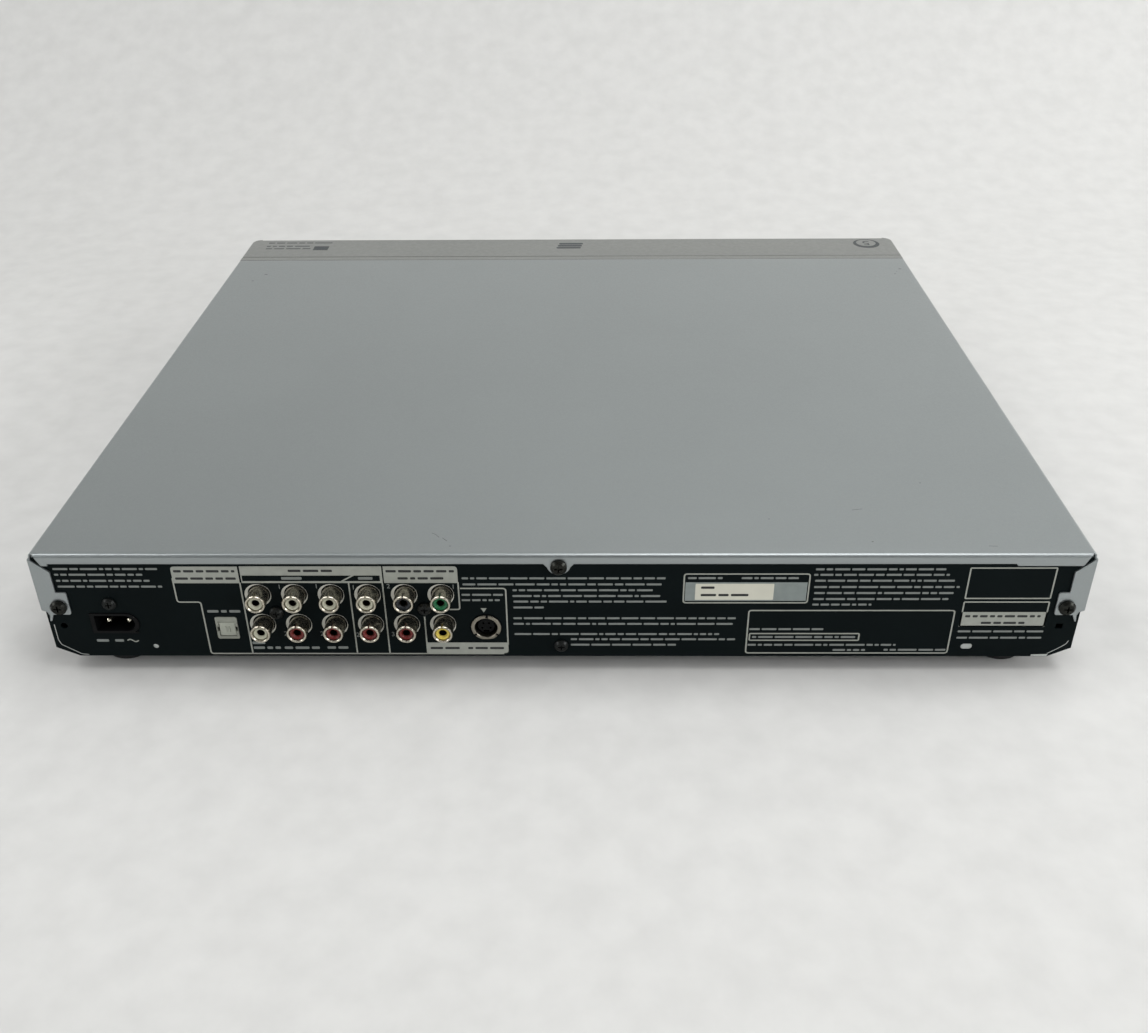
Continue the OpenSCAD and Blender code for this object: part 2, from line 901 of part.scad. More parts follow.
module capacitors() {
    z = board_z + board_t;
    color([0.14, 0.15, 0.22])
    for (c = [[200, 82, 8, 25], [198, 58, 6.5, 20], [197, 38, 5, 16], [150, 90, 2, 5], [160, 40, 2, 5]])
        translate([c[0], c[1], z])
            cylinder(r = c[2], h = c[3] - min(5, c[3] / 5));
}

module front_board() {
    board_y = face_y + 10.4;
    color([0.12, 0.32, 0.20]) {
        block([-202, board_y, 11], [202, board_y + board_t, 31]);
        // switches behind the buttons
        for (shape = all_buttons)
            block([shape[0] - 3, board_y - 2, button_z - 3], [shape[0] + 3, board_y, button_z + 3]);
        // display
        block([-70, board_y - 6, button_z - 6], [70, board_y, button_z + 6]);
    }
}

// ---------- mechanism frame ----------

module mech_frame() {
    back_y = 160;
    front = -178;
    color([0.78, 0.78, 0.75])
    difference() {
        union() {
            // floor of the frame with legs to the pan
            block([-side_x - 2.5, front, mech_z], [side_x + 2.5, hinge_y + 5, mech_z + mech_t]);
            for (p = leg_at)
                translate([p[0], p[1], floor_z])
                    cylinder(r = 4, h = mech_z - floor_z);
            for (side = [-1, 1])
                mirror([side < 0 ? 1 : 0, 0, 0]) {
                    // side wall, lower ledge and upper lips of the tray guide
                    block([side_x, front, mech_z], [side_x + 2.5, back_y, rail_z + rail_h + 2]);
                    block([side_x - 3.8, front, rail_z - 3], [side_x + eps, back_y, rail_z - 0.15]);
                    for (y = [front, -90, 0, 90])
                        block([side_x - 3.2, y, rail_z + rail_h + 0.25],
                            [side_x + eps, y + 30, rail_z + rail_h + 2]);
                    // ribs under the ledge
                    for (y = [front + 20 : 45 : back_y])
                        block([side_x - 3.8, y, mech_z], [side_x + eps, y + 2, rail_z - 2.9]);
                    // post for the clamp bridge
                    block([side_x + 2.5 - eps, play_y - 18, mech_z], [side_x + 11, play_y + 18, 46]);
                    // bearing of the traverse hinge
                    block([46, hinge_y - 4, mech_z], [54, hinge_y + 4, hinge_z + 4]);
                }
            // posts of the loading gears
            translate([loading_x, loading_y, mech_z])
                cylinder(r = 2, h = 17.4);
            translate([pulley_x, loading_y, mech_z])
                cylinder(r = 1.5, h = 12.4);
            // hooks of the lift slide
            for (x = [-58, 50])
                difference() {
                    block([x, pin_y - 19.5, mech_z], [x + 8, pin_y - 13, mech_z + 6.6]);
                    block([x - 1, pin_y - 16.2, mech_z + mech_t], [x + 9, pin_y, mech_z + 4.9]);
                }
        }
        // traverse opening
        block([-52, pin_y + 4, mech_z - 1], [52, hinge_y + 10, mech_z + mech_t + 1]);
        block([-70, pin_y - 8, mech_z - 1], [70, pin_y + 8, mech_z + mech_t + 1]);
        // hinge bores, round the pins and open upward for snapping in
        translate([-60, hinge_y, hinge_z])
            rotate([0, 90, 0])
                cylinder(r = 2.05, h = 120);
        // openings that lighten the floor
        for (x = [-165, -115], y = [-120, -60, 20])
            block([x, y, mech_z - 1], [x + 38, y + 40, mech_z + mech_t + 1]);
        block([-50, -130, mech_z - 1], [50, -50, mech_z + mech_t + 1]);
        block([76, -120, mech_z - 1], [164, -60, mech_z + mech_t + 1]);
        // motor seat
        translate([motor_x, loading_y, mech_z - 1])
            cylinder(r = 3.6, h = mech_t + 2);
    }
}

module loading_motor() {
    color([0.70, 0.71, 0.72])
    translate([motor_x, loading_y, 0]) {
        translate([0, 0, mech_z - 9.8])
            cylinder(r = 12, h = 9.8);
        translate([0, 0, mech_z])
            cylinder(r = 3.4, h = mech_t);
        translate([0, 0, mech_z])
            cylinder(r = 0.97, h = 7);
    }
}

module motor_pulley() {
    color([0.80, 0.72, 0.45])
    translate([motor_x, loading_y, belt_z])
        rotate_extrude()
            polygon([[1, -2], [motor_pulley_r + 1.2, -2], [motor_pulley_r + 1.2, -1.4],
                [motor_pulley_r - 0.2, -1.1], [motor_pulley_r - 0.2, 1.1],
                [motor_pulley_r + 1.2, 1.4], [motor_pulley_r + 1.2, 1.9], [1, 1.9]]);
}

module drive_belt() {
    between = pulley_x - motor_x;
    tilt = acos((pulley_r - motor_pulley_r) / between);
    color([0.06, 0.06, 0.06])
    translate([motor_x, loading_y, belt_z - 0.7])
        linear_extrude(1.4)
            difference() {
                polygon(belt_loop(1.4, between, tilt));
                polygon(belt_loop(0.05, between, tilt));
            }
}

// Points of an arc between two angles, about a centre on the X axis.
function arc_points(r, from, to, steps, x = 0) =
    [for (i = [0 : steps]) let (a = from + (to - from) * i / steps) [x + r * cos(a), r * sin(a)]];

// Outline of the belt at a distance out of both pulleys.
function belt_loop(out, between, tilt) = concat(
    arc_points(motor_pulley_r + out, 180 - tilt, 180 + tilt, 14),
    arc_points(pulley_r + out, tilt - 180, 180 - tilt, 28, between));

module loading_pulley() {
    color([0.92, 0.92, 0.90])
    translate([pulley_x, loading_y, 0])
        difference() {
            union() {
                translate([0, 0, belt_z])
                    rotate_extrude()
                        polygon([[0, -1.8], [pulley_r + 1.8, -1.8], [pulley_r + 1.8, -1.3],
                            [pulley_r - 0.05, -1], [pulley_r - 0.05, 1], [pulley_r + 1.8, 1.3],
                            [pulley_r + 1.8, 1.8], [0, 1.8]]);
                translate([0, 0, belt_z + 1.8 - eps])
                    rotate(180 / pinion_teeth)
                        linear_extrude(4.6)
                            gear_2d(pinion_teeth, wheel_m);
            }
            translate([0, 0, mech_z])
                cylinder(r = 1.55, h = 20);
        }
}

module loading_gear() {
    color([0.93, 0.93, 0.91])
    translate([loading_x, loading_y, 0])
        difference() {
            union() {
                translate([0, 0, 28])
                    rotate(180)
                        linear_extrude(3)
                            gear_2d(wheel_teeth, wheel_m);
                translate([0, 0, 22.2])
                    cylinder(r = 4, h = 6);
                translate([0, 0, 31 - eps])
                    cylinder(r = 8, h = 2.9);
                translate([0, 0, 33.8])
                    linear_extrude(3.4)
                        gear_2d(rack_gear_teeth, gear_m);
            }
            translate([0, 0, mech_z])
                cylinder(r = 2.05, h = 20);
        }
}

module lift_slide() {
    slot_run = norm([lift_rise, lift_travel]);
    color([0.30, 0.32, 0.34])
    difference() {
        union() {
            block([-36, slide_y - slide_t / 2, 15], [66, slide_y + slide_t / 2, 36.6]);
            // foot that slides on the frame
            block([-58, slide_y - 15.5, mech_z + mech_t + 0.2],
                [88, slide_y - slide_t / 2 + eps, mech_z + mech_t + 2.2]);
        }
        // slanted slots that lift the two pins
        for (x = [-pin_x, pin_x])
            translate([x, slide_y - 10, pin_low])
                rotate([-90, 0, 0])
                    mirror([0, 1, 0])
                        linear_extrude(20)
                            rotate(atan(lift_rise / lift_travel))
                                translate([slot_run / 2, 0])
                                    round_rect(slot_run + 5, 4.5, 2.24);
    }
}

module clamp_bridge() {
    z = 54.2;
    color([0.72, 0.73, 0.73])
    difference() {
        union() {
            block([-190, play_y - 20, z], [190, play_y + 20, z + 1.2]);
            for (y = [play_y - 20, play_y + 18.8])
                block([-170, y, z], [170, y + 1.2, z + 2.8]);
            for (side = [-1, 1])
                mirror([side < 0 ? 1 : 0, 0, 0]) {
                    block([188.8, play_y - 14, 46], [190, play_y + 14, z + 1.2]);
                    block([183, play_y - 14, 46], [190, play_y + 14, 47.2]);
                }
        }
        translate([0, play_y, z - 1])
            cylinder(r = 10.2, h = 4);
        for (x = [-120, -60, 60, 120])
            translate([x, play_y, z - 1])
                linear_extrude(4)
                    round_rect(36, 18, 5);
    }
}

module clamper() {
    color([0.88, 0.88, 0.86])
    translate([0, play_y, 0])
        rotate_extrude()
            polygon([[2, 52], [6, 52], [8.6, 51.7], [14, 51.7], [14, 53.2], [9.6, 53.6], [9.6, 55.7],
                [13.5, 55.7], [13.5, 57], [5, 57], [4, 56.2], [2, 56.2]]);
}

// ---------- traverse ----------

module traverse_holder() {
    z = 31.5;
    color([0.16, 0.17, 0.18])
    lowered()
        difference() {
            union() {
                difference() {
                    block([-46, play_y - 24, z], [46, hinge_y - 2, z + 4]);
                    block([-40, play_y - 18, z - 1], [40, hinge_y - 8, z + 5]);
                }
                // corner lugs with damper posts
                for (x = [-35, 35], y = [play_y - 13, hinge_y - 13])
                    translate([x, y, 0]) {
                        block([x < 0 ? -9 : -4.8, -4.8, z], [x < 0 ? 4.8 : 9, 4.8, z + 2.6]);
                        translate([0, 0, z])
                            cylinder(r = 1.5, h = 8.2);
                        translate([0, 0, z + 8.2])
                            cylinder(r = 2.8, h = 0.9);
                    }
                // hinge arms and pins
                for (side = [-1, 1])
                    mirror([side < 0 ? 1 : 0, 0, 0]) {
                        block([39, hinge_y - 9, hinge_z - 2], [45, hinge_y + 1.6, z + 4]);
                        translate([39, hinge_y, hinge_z])
                            rotate([0, 90, 0])
                                cylinder(r = 2, h = 14.5);
                    }
                // lift pins at the front
                for (x = [-pin_x, pin_x])
                    translate([x, play_y - 24 + eps, pin_z])
                        rotate([90, 0, 0])
                            cylinder(r = 1.8, h = play_y - 24 - slide_y + slide_t / 2 + 1.5);
            }
            // room for the spindle motor
            translate([0, play_y, z - 5])
                cylinder(r = 15, h = 12);
        }
}

module traverse_dampers() {
    color([0.10, 0.22, 0.30])
    lowered()
        for (x = [-35, 35], y = [play_y - 13, hinge_y - 13])
            translate([x, y, 0])
                rotate_extrude()
                    polygon([[1.55, 34.1], [4.4, 34.1], [4.6, 36], [4.4, 36.9], [3, 36.98],
                        [3, 38.22], [4.2, 38.3], [4.2, 39.4], [3.6, 39.68], [1.55, 39.68]]);
}

module traverse_plate() {
    color([0.74, 0.75, 0.75])
    lowered()
        difference() {
            union() {
                block([-42, play_y - 20, plate_z], [42, hinge_y - 5, plate_z + plate_t]);
                // folded lips
                for (x = [-42, 41])
                    block([x, play_y - 6, plate_z - 1.2], [x + 1, hinge_y - 22, plate_z + plate_t]);
                // rod holders
                for (x = [-rod_x, rod_x], y = [play_y - 16, hinge_y - 9.5])
                    block([x - 3, y, plate_z + plate_t - eps], [x + 3, y + 3.5, rod_z + 1.2]);
            }
            // opening for the pickup
            block([-30.5, play_y + 14.5, plate_z - 3], [30.5, hinge_y - 10, plate_z + 3]);
            // seat of the spindle motor
            translate([0, play_y, plate_z - 3])
                cylinder(r = spindle_motor_r + 0.3, h = 6);
            // damper holes
            for (x = [-35, 35], y = [play_y - 13, hinge_y - 13])
                translate([x, y, plate_z - 3])
                    cylinder(r = 3.03, h = 6);
            // rod seats
            for (x = [-rod_x, rod_x])
                translate([x, hinge_y, rod_z])
                    rotate([90, 0, 0])
                        cylinder(r = rod_r + 0.02, h = 200);
        }
}

module spindle_motor() {
    color([0.66, 0.67, 0.68])
    lowered()
        translate([0, play_y, 0]) {
            translate([0, 0, 30])
                cylinder(r = 11, h = 7);
            translate([0, 0, 36])
                cylinder(r = spindle_motor_r, h = 7.6);
            translate([0, 0, 43])
                cylinder(r = 1, h = 5.5);
        }
}

module turntable() {
    r = turntable_d / 2;
    color([0.14, 0.14, 0.15])
    lowered()
        translate([0, play_y, 0])
            rotate_extrude()
                polygon([[1.04, 44.2], [4, 44.2], [5, 46.4], [r, 46.4], [r, disc_z], [9, disc_z],
                    [9, disc_z - 0.8], [7.45, disc_z - 0.8], [7.3, disc_z + 1.2], [5, disc_z + 2.2],
                    [1.04, disc_z + 2.2]]);
}

module guide_rods() {
    color([0.82, 0.83, 0.84])
    lowered()
        for (x = [-rod_x, rod_x])
            translate([x, hinge_y - 6, rod_z])
                rotate([90, 0, 0])
                    cylinder(r = rod_r, h = hinge_reach + 10);
}

module pickup_sled() {
    color([0.55, 0.56, 0.58])
    lowered()
        difference() {
            union() {
                block([-19, sled_y - 8.5, 35], [19, sled_y + 16, 43.4]);
                block([-13, sled_y - 7, 43], [13, sled_y + 10, 45]);
                // bearing arms
                for (y = [sled_y - 8, sled_y + 11])
                    block([18, y, 38.4], [rod_x + 2.6, y + 5, 42.2]);
                block([-rod_x - 2.6, sled_y + 1, 38.4], [-18, sled_y + 7, 42.2]);
                // arm that follows the feed screw
                block([12, sled_y + 2, 30.6], [screw_x - 1.9, sled_y + 8, 35.2]);
            }
            for (x = [-rod_x, rod_x])
                translate([x, hinge_y + 40, rod_z])
                    rotate([90, 0, 0])
                        cylinder(r = rod_r + 0.05, h = 200);
            translate([0, sled_y, 44])
                cylinder(r = 3.6, h = 4);
        }
}

module pickup_lens() {
    color([0.35, 0.42, 0.60])
    lowered()
        translate([0, sled_y, 44])
            rotate_extrude()
                polygon([[0, 0], [3.5, 0], [3.5, 1.6], [2.6, 2.4], [1.2, 2.8], [0, 2.9]]);
}

module feed_motor() {
    color([0.70, 0.71, 0.72])
    lowered()
        translate([screw_x, play_y - 4, screw_z])
            rotate([90, 0, 0]) {
                cylinder(r = 5, h = 13);
                translate([0, 0, -3])
                    cylinder(r = 2.4, h = 3 + eps);
            }
}

module feed_screw() {
    color([0.80, 0.80, 0.80])
    lowered()
        translate([screw_x, hinge_y - 10, screw_z])
            rotate([90, 0, 0])
                cylinder(r = 1.5, h = hinge_reach - 14);
}

// ---------- tray and carousel ----------

module tray() {
    back_y = carousel_y + ring_r;
    floor_t = 1.6;
    color([0.22, 0.23, 0.24])
    difference() {
        union() {
            difference() {
                block([-tray_w / 2, wall_front_y, tray_z], [tray_w / 2, back_y, deck_z]);
                // round well for the carousel
                translate([0, carousel_y, tray_z + floor_t])
                    cylinder(r = ring_r, h = 20, $fn = 128);
                // hollow corners under the deck
                difference() {
                    block([-tray_w / 2 + 2, wall_front_y + 2, tray_z - 1],
                        [tray_w / 2 - 2, back_y + 5, deck_z - 2]);
                    translate([0, carousel_y, tray_z - 2])
                        cylinder(r = ring_r + 2, h = 20, $fn = 128);
                }
            }
            // side flanges that run in the guides
            for (side = [-1, 1])
                mirror([side < 0 ? 1 : 0, 0, 0])
                    block([tray_w / 2 - eps, wall_front_y + 2, rail_z],
                        [tray_w / 2 + rail_w, back_y, rail_z + rail_h]);
            // carousel post
            translate([0, carousel_y, tray_z])
                cylinder(r = 6, h = 9.8);
            // rack under the floor
            translate([rack_x, loading_y - 4 * PI * gear_m, tray_z - 4])
                linear_extrude(4 + eps)
                    rack_2d(236, gear_m);
            // lugs behind the door
            for (x = [-150, 0, 150])
                block([x - 8, wall_front_y - 2, tray_z + 1], [x + 8, wall_front_y + eps, deck_z - 2]);
        }
        // opening for the drive, open to the rear
        block([-52, play_y - 22, tray_z - 5], [52, back_y + 10, deck_z + 10]);
        // hole for the carousel gear's motor
        translate([drive_x, drive_y, tray_z - 1])
            cylinder(r = 5, h = 5);
        // openings that lighten the floor
        for (a = [160, 200, 240, 300, 340, 20])
            translate([80 * cos(a), carousel_y + 80 * sin(a), tray_z - 1])
                cylinder(r = 20, h = 5);
    }
}

module tray_door() {
    skin = 2;
    color([0.60, 0.60, 0.59])
    difference() {
        on_front(z = door_z + door_h / 2)
            linear_extrude(wall_front_y - 2 - face_y)
                round_rect(door_w, door_h, 0.8);
        // hollow back between the lugs' seats
        for (span = [[-175, -161], [-139, -11], [11, 139], [161, 175]])
            block([span[0], face_y + skin, door_z + skin],
                [span[1], wall_front_y, door_z + door_h - skin]);
    }
}

module glide_pads() {
    color([0.90, 0.90, 0.86])
    for (a = [35, 145, 215, 270, 325])
        translate([119.5 * cos(a), carousel_y + 119.5 * sin(a), tray_z + 1.6])
            cylinder(r = 4, h = 1.9);
}

module drive_slot() {
    translate([pocket_at, 0])
        circle(slot_w / 2);
    translate([pocket_at, -slot_w / 2])
        square([carousel_r, slot_w]);
}

module carousel() {
    low = 43.6;
    top = 48;
    color([0.16, 0.17, 0.18])
    translate([0, carousel_y, 0])
        difference() {
            union() {
                translate([0, 0, low])
                    cylinder(r = carousel_r, h = top - low, $fn = 128);
                // rib that rides on the glide pads
                translate([0, 0, 41.7])
                    tube(121, 118, low - 41.7 + eps);
                // ring gear and hub
                translate([0, 0, 40.4])
                    rotate(drive_angle)
                        linear_extrude(low - 40.4 + eps)
                            difference() {
                                gear_2d(ring_teeth, gear_m);
                                circle(ring_teeth * gear_m / 2 - 5);
                            }
                translate([0, 0, 40])
                    cylinder(r = 12, h = 8.6);
            }
            for (k = [0 : pocket_count - 1])
                rotate(90 + k * 360 / pocket_count) {
                    translate([pocket_at, 0, low + 1.9])
                        cylinder(r = pocket_r, h = 10, $fn = 96);
                    translate([pocket_at, 0, low + 1])
                        cylinder(r = 40.5, h = 10, $fn = 96);
                    translate([0, 0, low - 5])
                        linear_extrude(20)
                            drive_slot();
                }
            // hollow under the middle
            translate([0, 0, low - 5])
                tube(31, 14, 7.9);
            translate([0, 0, 30])
                cylinder(r = 6.08, h = 30);
        }
}

module hub_cap() {
    color([0.70, 0.70, 0.69])
    translate([0, carousel_y, 48.6])
        rotate_extrude()
            polygon([[0, 0], [13, 0], [13, 0.6], [12, 1.4], [8, 2], [0, 2.2]]);
}

module carousel_motor() {
    color([0.70, 0.71, 0.72])
    translate([drive_x, drive_y, 0]) {
        translate([0, 0, 26])
            cylinder(r = 11, h = tray_z - 26);
        translate([0, 0, tray_z - eps])
            cylinder(r = 4.8, h = 1.6);
        translate([0, 0, tray_z])
            cylinder(r = 1, h = 5);
    }
}

module carousel_gear() {
    color([0.93, 0.93, 0.91])
    translate([drive_x, drive_y, 40.6])
        difference() {
            rotate(drive_angle + 180 + 180 / drive_teeth)
                linear_extrude(2.6)
                    gear_2d(drive_teeth, gear_m);
            translate([0, 0, -1])
                cylinder(r = 1.05, h = 5);
        }
}

// ---------- buttons ----------

// A cap with a flange behind the bezel and a stem to its switch.
module button(shape) {
    cap = button_out + bezel_t + 0.9;
    on_front(shape[0], button_z, button_out)
        linear_extrude(cap + eps)
            round_rect(shape[1], shape[2], shape[3]);
    on_front(shape[0], button_z, button_out - cap)
        linear_extrude(1)
            round_rect(shape[1] + 2.4, shape[2] + 2.4, shape[3]);
    on_front(shape[0], button_z, button_out - cap)
        linear_extrude(3.4)
            square([3, 3], center = true);
}

module power_button() {
    color([0.64, 0.65, 0.65])
        button(power_shape);
}

module open_button() {
    color([0.64, 0.65, 0.65])
        button(open_shape);
}

module disc_button() {
    color([0.64, 0.65, 0.65])
        button(disc_shape);
}

module play_button() {
    color([0.64, 0.65, 0.65])
        button(play_shape);
}

module stop_button() {
    color([0.64, 0.65, 0.65])
        button(stop_shape);
}

module skip_back_button() {
    color([0.64, 0.65, 0.65])
        button(skip_back_shape);
}

module skip_next_button() {
    color([0.64, 0.65, 0.65])
        button(skip_next_shape);
}

chassis_pan();
rear_panel();
top_cover();
front_bezel();
display_window();
feet();
cover_screws();
panel_screws();
ac_inlet();
inlet_pins();
optical_socket();
optical_shutter();
jack_block();
jack_barrels();
jacks_white();
jacks_red();
jacks_black();
jacks_green();
jacks_yellow();
svideo_socket();
svideo_shell();
main_board();
board_chips();
power_board();
transformer();
capacitors();
front_board();
mech_frame();
loading_motor();
motor_pulley();
drive_belt();
loading_pulley();
loading_gear();
lift_slide();
clamp_bridge();
clamper();
traverse_holder();
traverse_dampers();
traverse_plate();
spindle_motor();
turntable();
guide_rods();
pickup_sled();
pickup_lens();
feed_motor();
feed_screw();
tray();
tray_door();
glide_pads();
carousel();
hub_cap();
carousel_motor();
carousel_gear();
power_button();
open_button();
disc_button();
play_button();
stop_button();
skip_back_button();
skip_next_button();
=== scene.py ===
import math
import random

import bmesh
import bpy
from bpy.props import FloatProperty, FloatVectorProperty, IntProperty, PointerProperty
from mathutils import Matrix, Vector


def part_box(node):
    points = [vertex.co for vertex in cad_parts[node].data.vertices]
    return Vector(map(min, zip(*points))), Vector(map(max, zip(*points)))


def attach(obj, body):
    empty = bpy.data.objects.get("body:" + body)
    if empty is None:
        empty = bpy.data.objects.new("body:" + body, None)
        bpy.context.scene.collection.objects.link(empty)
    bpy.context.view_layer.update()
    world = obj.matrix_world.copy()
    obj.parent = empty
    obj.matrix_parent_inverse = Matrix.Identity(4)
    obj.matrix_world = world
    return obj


bl_info = {
    "name": "Five-disc player finishes",
    "version": (1, 0, 0),
    "blender": (4, 5, 0),
    "location": "3D View > Sidebar > Player",
    "description": "Prints, marks, finishes and studio for a slim five-disc player",
    "category": "Object",
}

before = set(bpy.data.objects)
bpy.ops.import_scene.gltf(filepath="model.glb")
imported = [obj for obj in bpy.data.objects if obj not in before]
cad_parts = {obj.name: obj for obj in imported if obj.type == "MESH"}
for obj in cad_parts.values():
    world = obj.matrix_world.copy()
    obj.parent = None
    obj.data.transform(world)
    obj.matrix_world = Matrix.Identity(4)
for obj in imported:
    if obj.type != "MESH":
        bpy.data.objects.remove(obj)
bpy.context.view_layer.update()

MM = 0.001
# The case's outer planes and the carousel's middle, from the imported parts' boxes
REAR_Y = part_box("rear_panel")[1].y
PAN_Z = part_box("chassis_pan")[0].z
BEZEL_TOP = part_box("front_bezel")[1].z
COVER_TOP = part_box("top_cover")[1].z
CAROUSEL_MIDDLE = sum(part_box("carousel"), Vector()) / 2
# How far the hub stands above the carousel's flat top, which carries the figures
HUB_RISE = 0.6 * MM
POCKET_FIGURE_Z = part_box("carousel")[1].z - HUB_RISE


def linear(code):
    """Turns an sRGB hex colour into linear red, green, blue and alpha."""
    parts = [int(code[i : i + 2], 16) / 255 for i in (0, 2, 4)]
    return tuple(p / 12.92 if p <= 0.04045 else ((p + 0.055) / 1.055) ** 2.4 for p in parts) + (1.0,)


def tint(name, description, code):
    return FloatVectorProperty(name=name, description=description, default=linear(code),
                               size=4, min=0, max=1, subtype="COLOR")


def span(name, description, millimetres, low, high):
    return FloatProperty(name=name, description=description, default=millimetres * MM,
                         min=low * MM, max=high * MM, precision=5, subtype="DISTANCE", unit="LENGTH")


# ---------- settings ----------


class PrintSettings(bpy.types.PropertyGroup):
    """Inks and line sizes of the printing."""

    light: tint("Light ink", "Warm grey of the bands, frames and lines", "9DA098")
    words: tint("Word ink", "Grey of the small rows, thinner than the bands", "7C817E")
    ring: tint("Ring ink", "Lightest ink, round the phono jacks", "C9C8BF")
    dark: tint("Dark ink", "Ink on the light bands", "15181A")
    label: tint("Label paper", "Cream paper of the stuck-on label", "D3D2C4")
    strip: tint("Label strip", "Grey strip under the label", "838C8A")
    thickness: span("Ink thickness", "How far a print stands proud", 0.03, 0.01, 0.1)
    line: span("Line width", "Width of the frames and dividers", 0.6, 0.3, 1.2)
    row: span("Row height", "Height of a bar in the small rows", 0.95, 0.5, 2)
    seed: IntProperty(name="Row seed", description="Seed of the bar lengths in the small rows",
                      default=7, min=0)


class CaseSettings(bpy.types.PropertyGroup):
    """Colours of the case and the sockets."""

    cover: tint("Cover", "Silver-grey enamel of the top cover", "9BA1A2")
    panel: tint("Chassis", "Black enamel of the pan and the rear panel", "0C1314")
    front: tint("Front", "Silver paint of the front moulding and the tray door", "838582")
    button: tint("Buttons", "Silver paint of the buttons", "949694")
    window: tint("Window", "Smoked acrylic of the display window", "090B0D")
    nickel: tint("Nickel", "Plating of the phono barrels", "BFB9AA")
    screw: tint("Cover screws", "Dark chromate on the cover's screws", "272825")
    optical: tint("Optical socket", "Grey moulding of the optical socket", "8F9288")
    edge: span("Front edges", "Radius that the light finds along the front's edges", 0.35, 0, 1)


class StageSettings(bpy.types.PropertyGroup):
    """Camera, lamps and paper."""

    place: FloatVectorProperty(name="Camera place", description="Where the camera stands",
                               default=(-0.0119, 0.5873, 0.323), subtype="TRANSLATION", unit="LENGTH")
    lens: FloatProperty(name="Lens", description="Focal length on a 36 mm wide sensor",
                        default=37.39, min=10, max=200, unit="CAMERA")
    yaw: FloatProperty(name="Yaw", description="Camera turn from straight along the depth",
                       default=math.radians(0.85), subtype="ANGLE", unit="ROTATION")
    pitch: FloatProperty(name="Pitch", description="Camera tilt below the horizon",
                         default=math.radians(31.73), subtype="ANGLE", unit="ROTATION")
    roll: FloatProperty(name="Roll", description="Camera roll about its view",
                        default=math.radians(-0.49), subtype="ANGLE", unit="ROTATION")
    paper: tint("Paper", "Pale paper under and behind the player", "CFCFCD")
    overhead: FloatProperty(name="Overhead lamp", description="Power of the wide lamp above",
                            default=11.5, min=0, max=200, unit="POWER")
    side: FloatProperty(name="End lamps", description="Power of the lamps over the two ends",
                        default=6, min=0, max=200, unit="POWER")
    rear: FloatProperty(name="Rear lamps", description="Power of the two low lamps on the sockets' side",
                        default=8, min=0, max=200, unit="POWER")
    room: FloatProperty(name="Room light", description="Strength of the light from all round",
                        default=0.34, min=0, max=4)


# ---------- mesh helpers ----------

# Least cosine at a mitred corner, so that a sharp one doesn't run out to a spike
MITRE_LIMIT = 0.4
# A figure's height as a share of the font's size, and the distance in metres at which its points join
FIGURE_SHARE, WELD = 0.7, 1e-7
# A bar's letter and round ends as shares of its height, and the gap after it as a share of a letter
LETTER, BAR_END, WORD_GAP = 0.92, 0.32, 0.9


def rear(x, z):
    """A place on the rear panel's face, as X and height above the pan, in the panel's own plane."""
    return (-x, z)


def plane(origin, across, up):
    """Matrix that carries flat millimetres onto a face of the player."""
    across, up = Vector(across), Vector(up)
    turn = Matrix((across, up, across.cross(up))).transposed().to_4x4()
    return Matrix.Translation(origin) @ turn @ Matrix.Scale(MM, 4)


REAR_FACE = plane((0, REAR_Y, PAN_Z), (-1, 0, 0), (0, 0, 1))
FRONT_TOP = plane((0, 0, BEZEL_TOP), (-1, 0, 0), (0, -1, 0))
COVER_FACE = plane((0, 0, COVER_TOP), (-1, 0, 0), (0, -1, 0))


def plate(bm, where, outline, thick):
    """A closed thin plate over an outline in flat millimetres."""
    low = [bm.verts.new(where @ Vector((x, y, 0))) for x, y in outline]
    high = [bm.verts.new(where @ Vector((x, y, thick))) for x, y in outline]
    bm.faces.new(high)
    bm.faces.new(low[::-1])
    for i, vert in enumerate(low):
        bm.faces.new((low[i - 1], vert, high[i], high[i - 1]))


def hoop(bm, where, outer, inner, thick):
    """A closed flat ring between two outlines with the same number of points."""
    loops = [[bm.verts.new(where @ Vector((x, y, z))) for x, y in loop]
             for loop in (outer, inner) for z in (0, thick)]
    outer_low, outer_high, inner_low, inner_high = loops
    for i in range(len(outer)):
        for a, b in ((outer_low, outer_high), (outer_high, inner_high),
                     (inner_high, inner_low), (inner_low, outer_low)):
            bm.faces.new((a[i - 1], a[i], b[i], b[i - 1]))


def stroke(bm, where, points, width, thick):
    """A closed line of one width along an open run of points, with mitred corners."""
    runs = [(Vector(b) - Vector(a)).normalized() for a, b in zip(points, points[1:])]
    left, right = [], []
    for point, back, ahead in zip(points, runs[:1] + runs, runs + runs[-1:]):
        along = (back + ahead).normalized()
        side = Vector((-along.y, along.x)) * (width / 2 / max(MITRE_LIMIT, along.dot(ahead)))
        left.append(Vector(point) + side)
        right.append(Vector(point) - side)
    plate(bm, where, left + right[::-1], thick)


def rounded(points, radius, steps=4):
    """The same run of points with its inner corners rounded."""
    out = [points[0]]
    for before, corner, after in zip(points, points[1:], points[2:]):
        before, corner, after = Vector(before), Vector(corner), Vector(after)
        start = corner + (before - corner).normalized() * radius
        end = corner + (after - corner).normalized() * radius
        for k in range(steps + 1):
            t = k / steps
            out.append(tuple(start.lerp(corner, t).lerp(corner.lerp(end, t), t)))
    return out + [points[-1]]


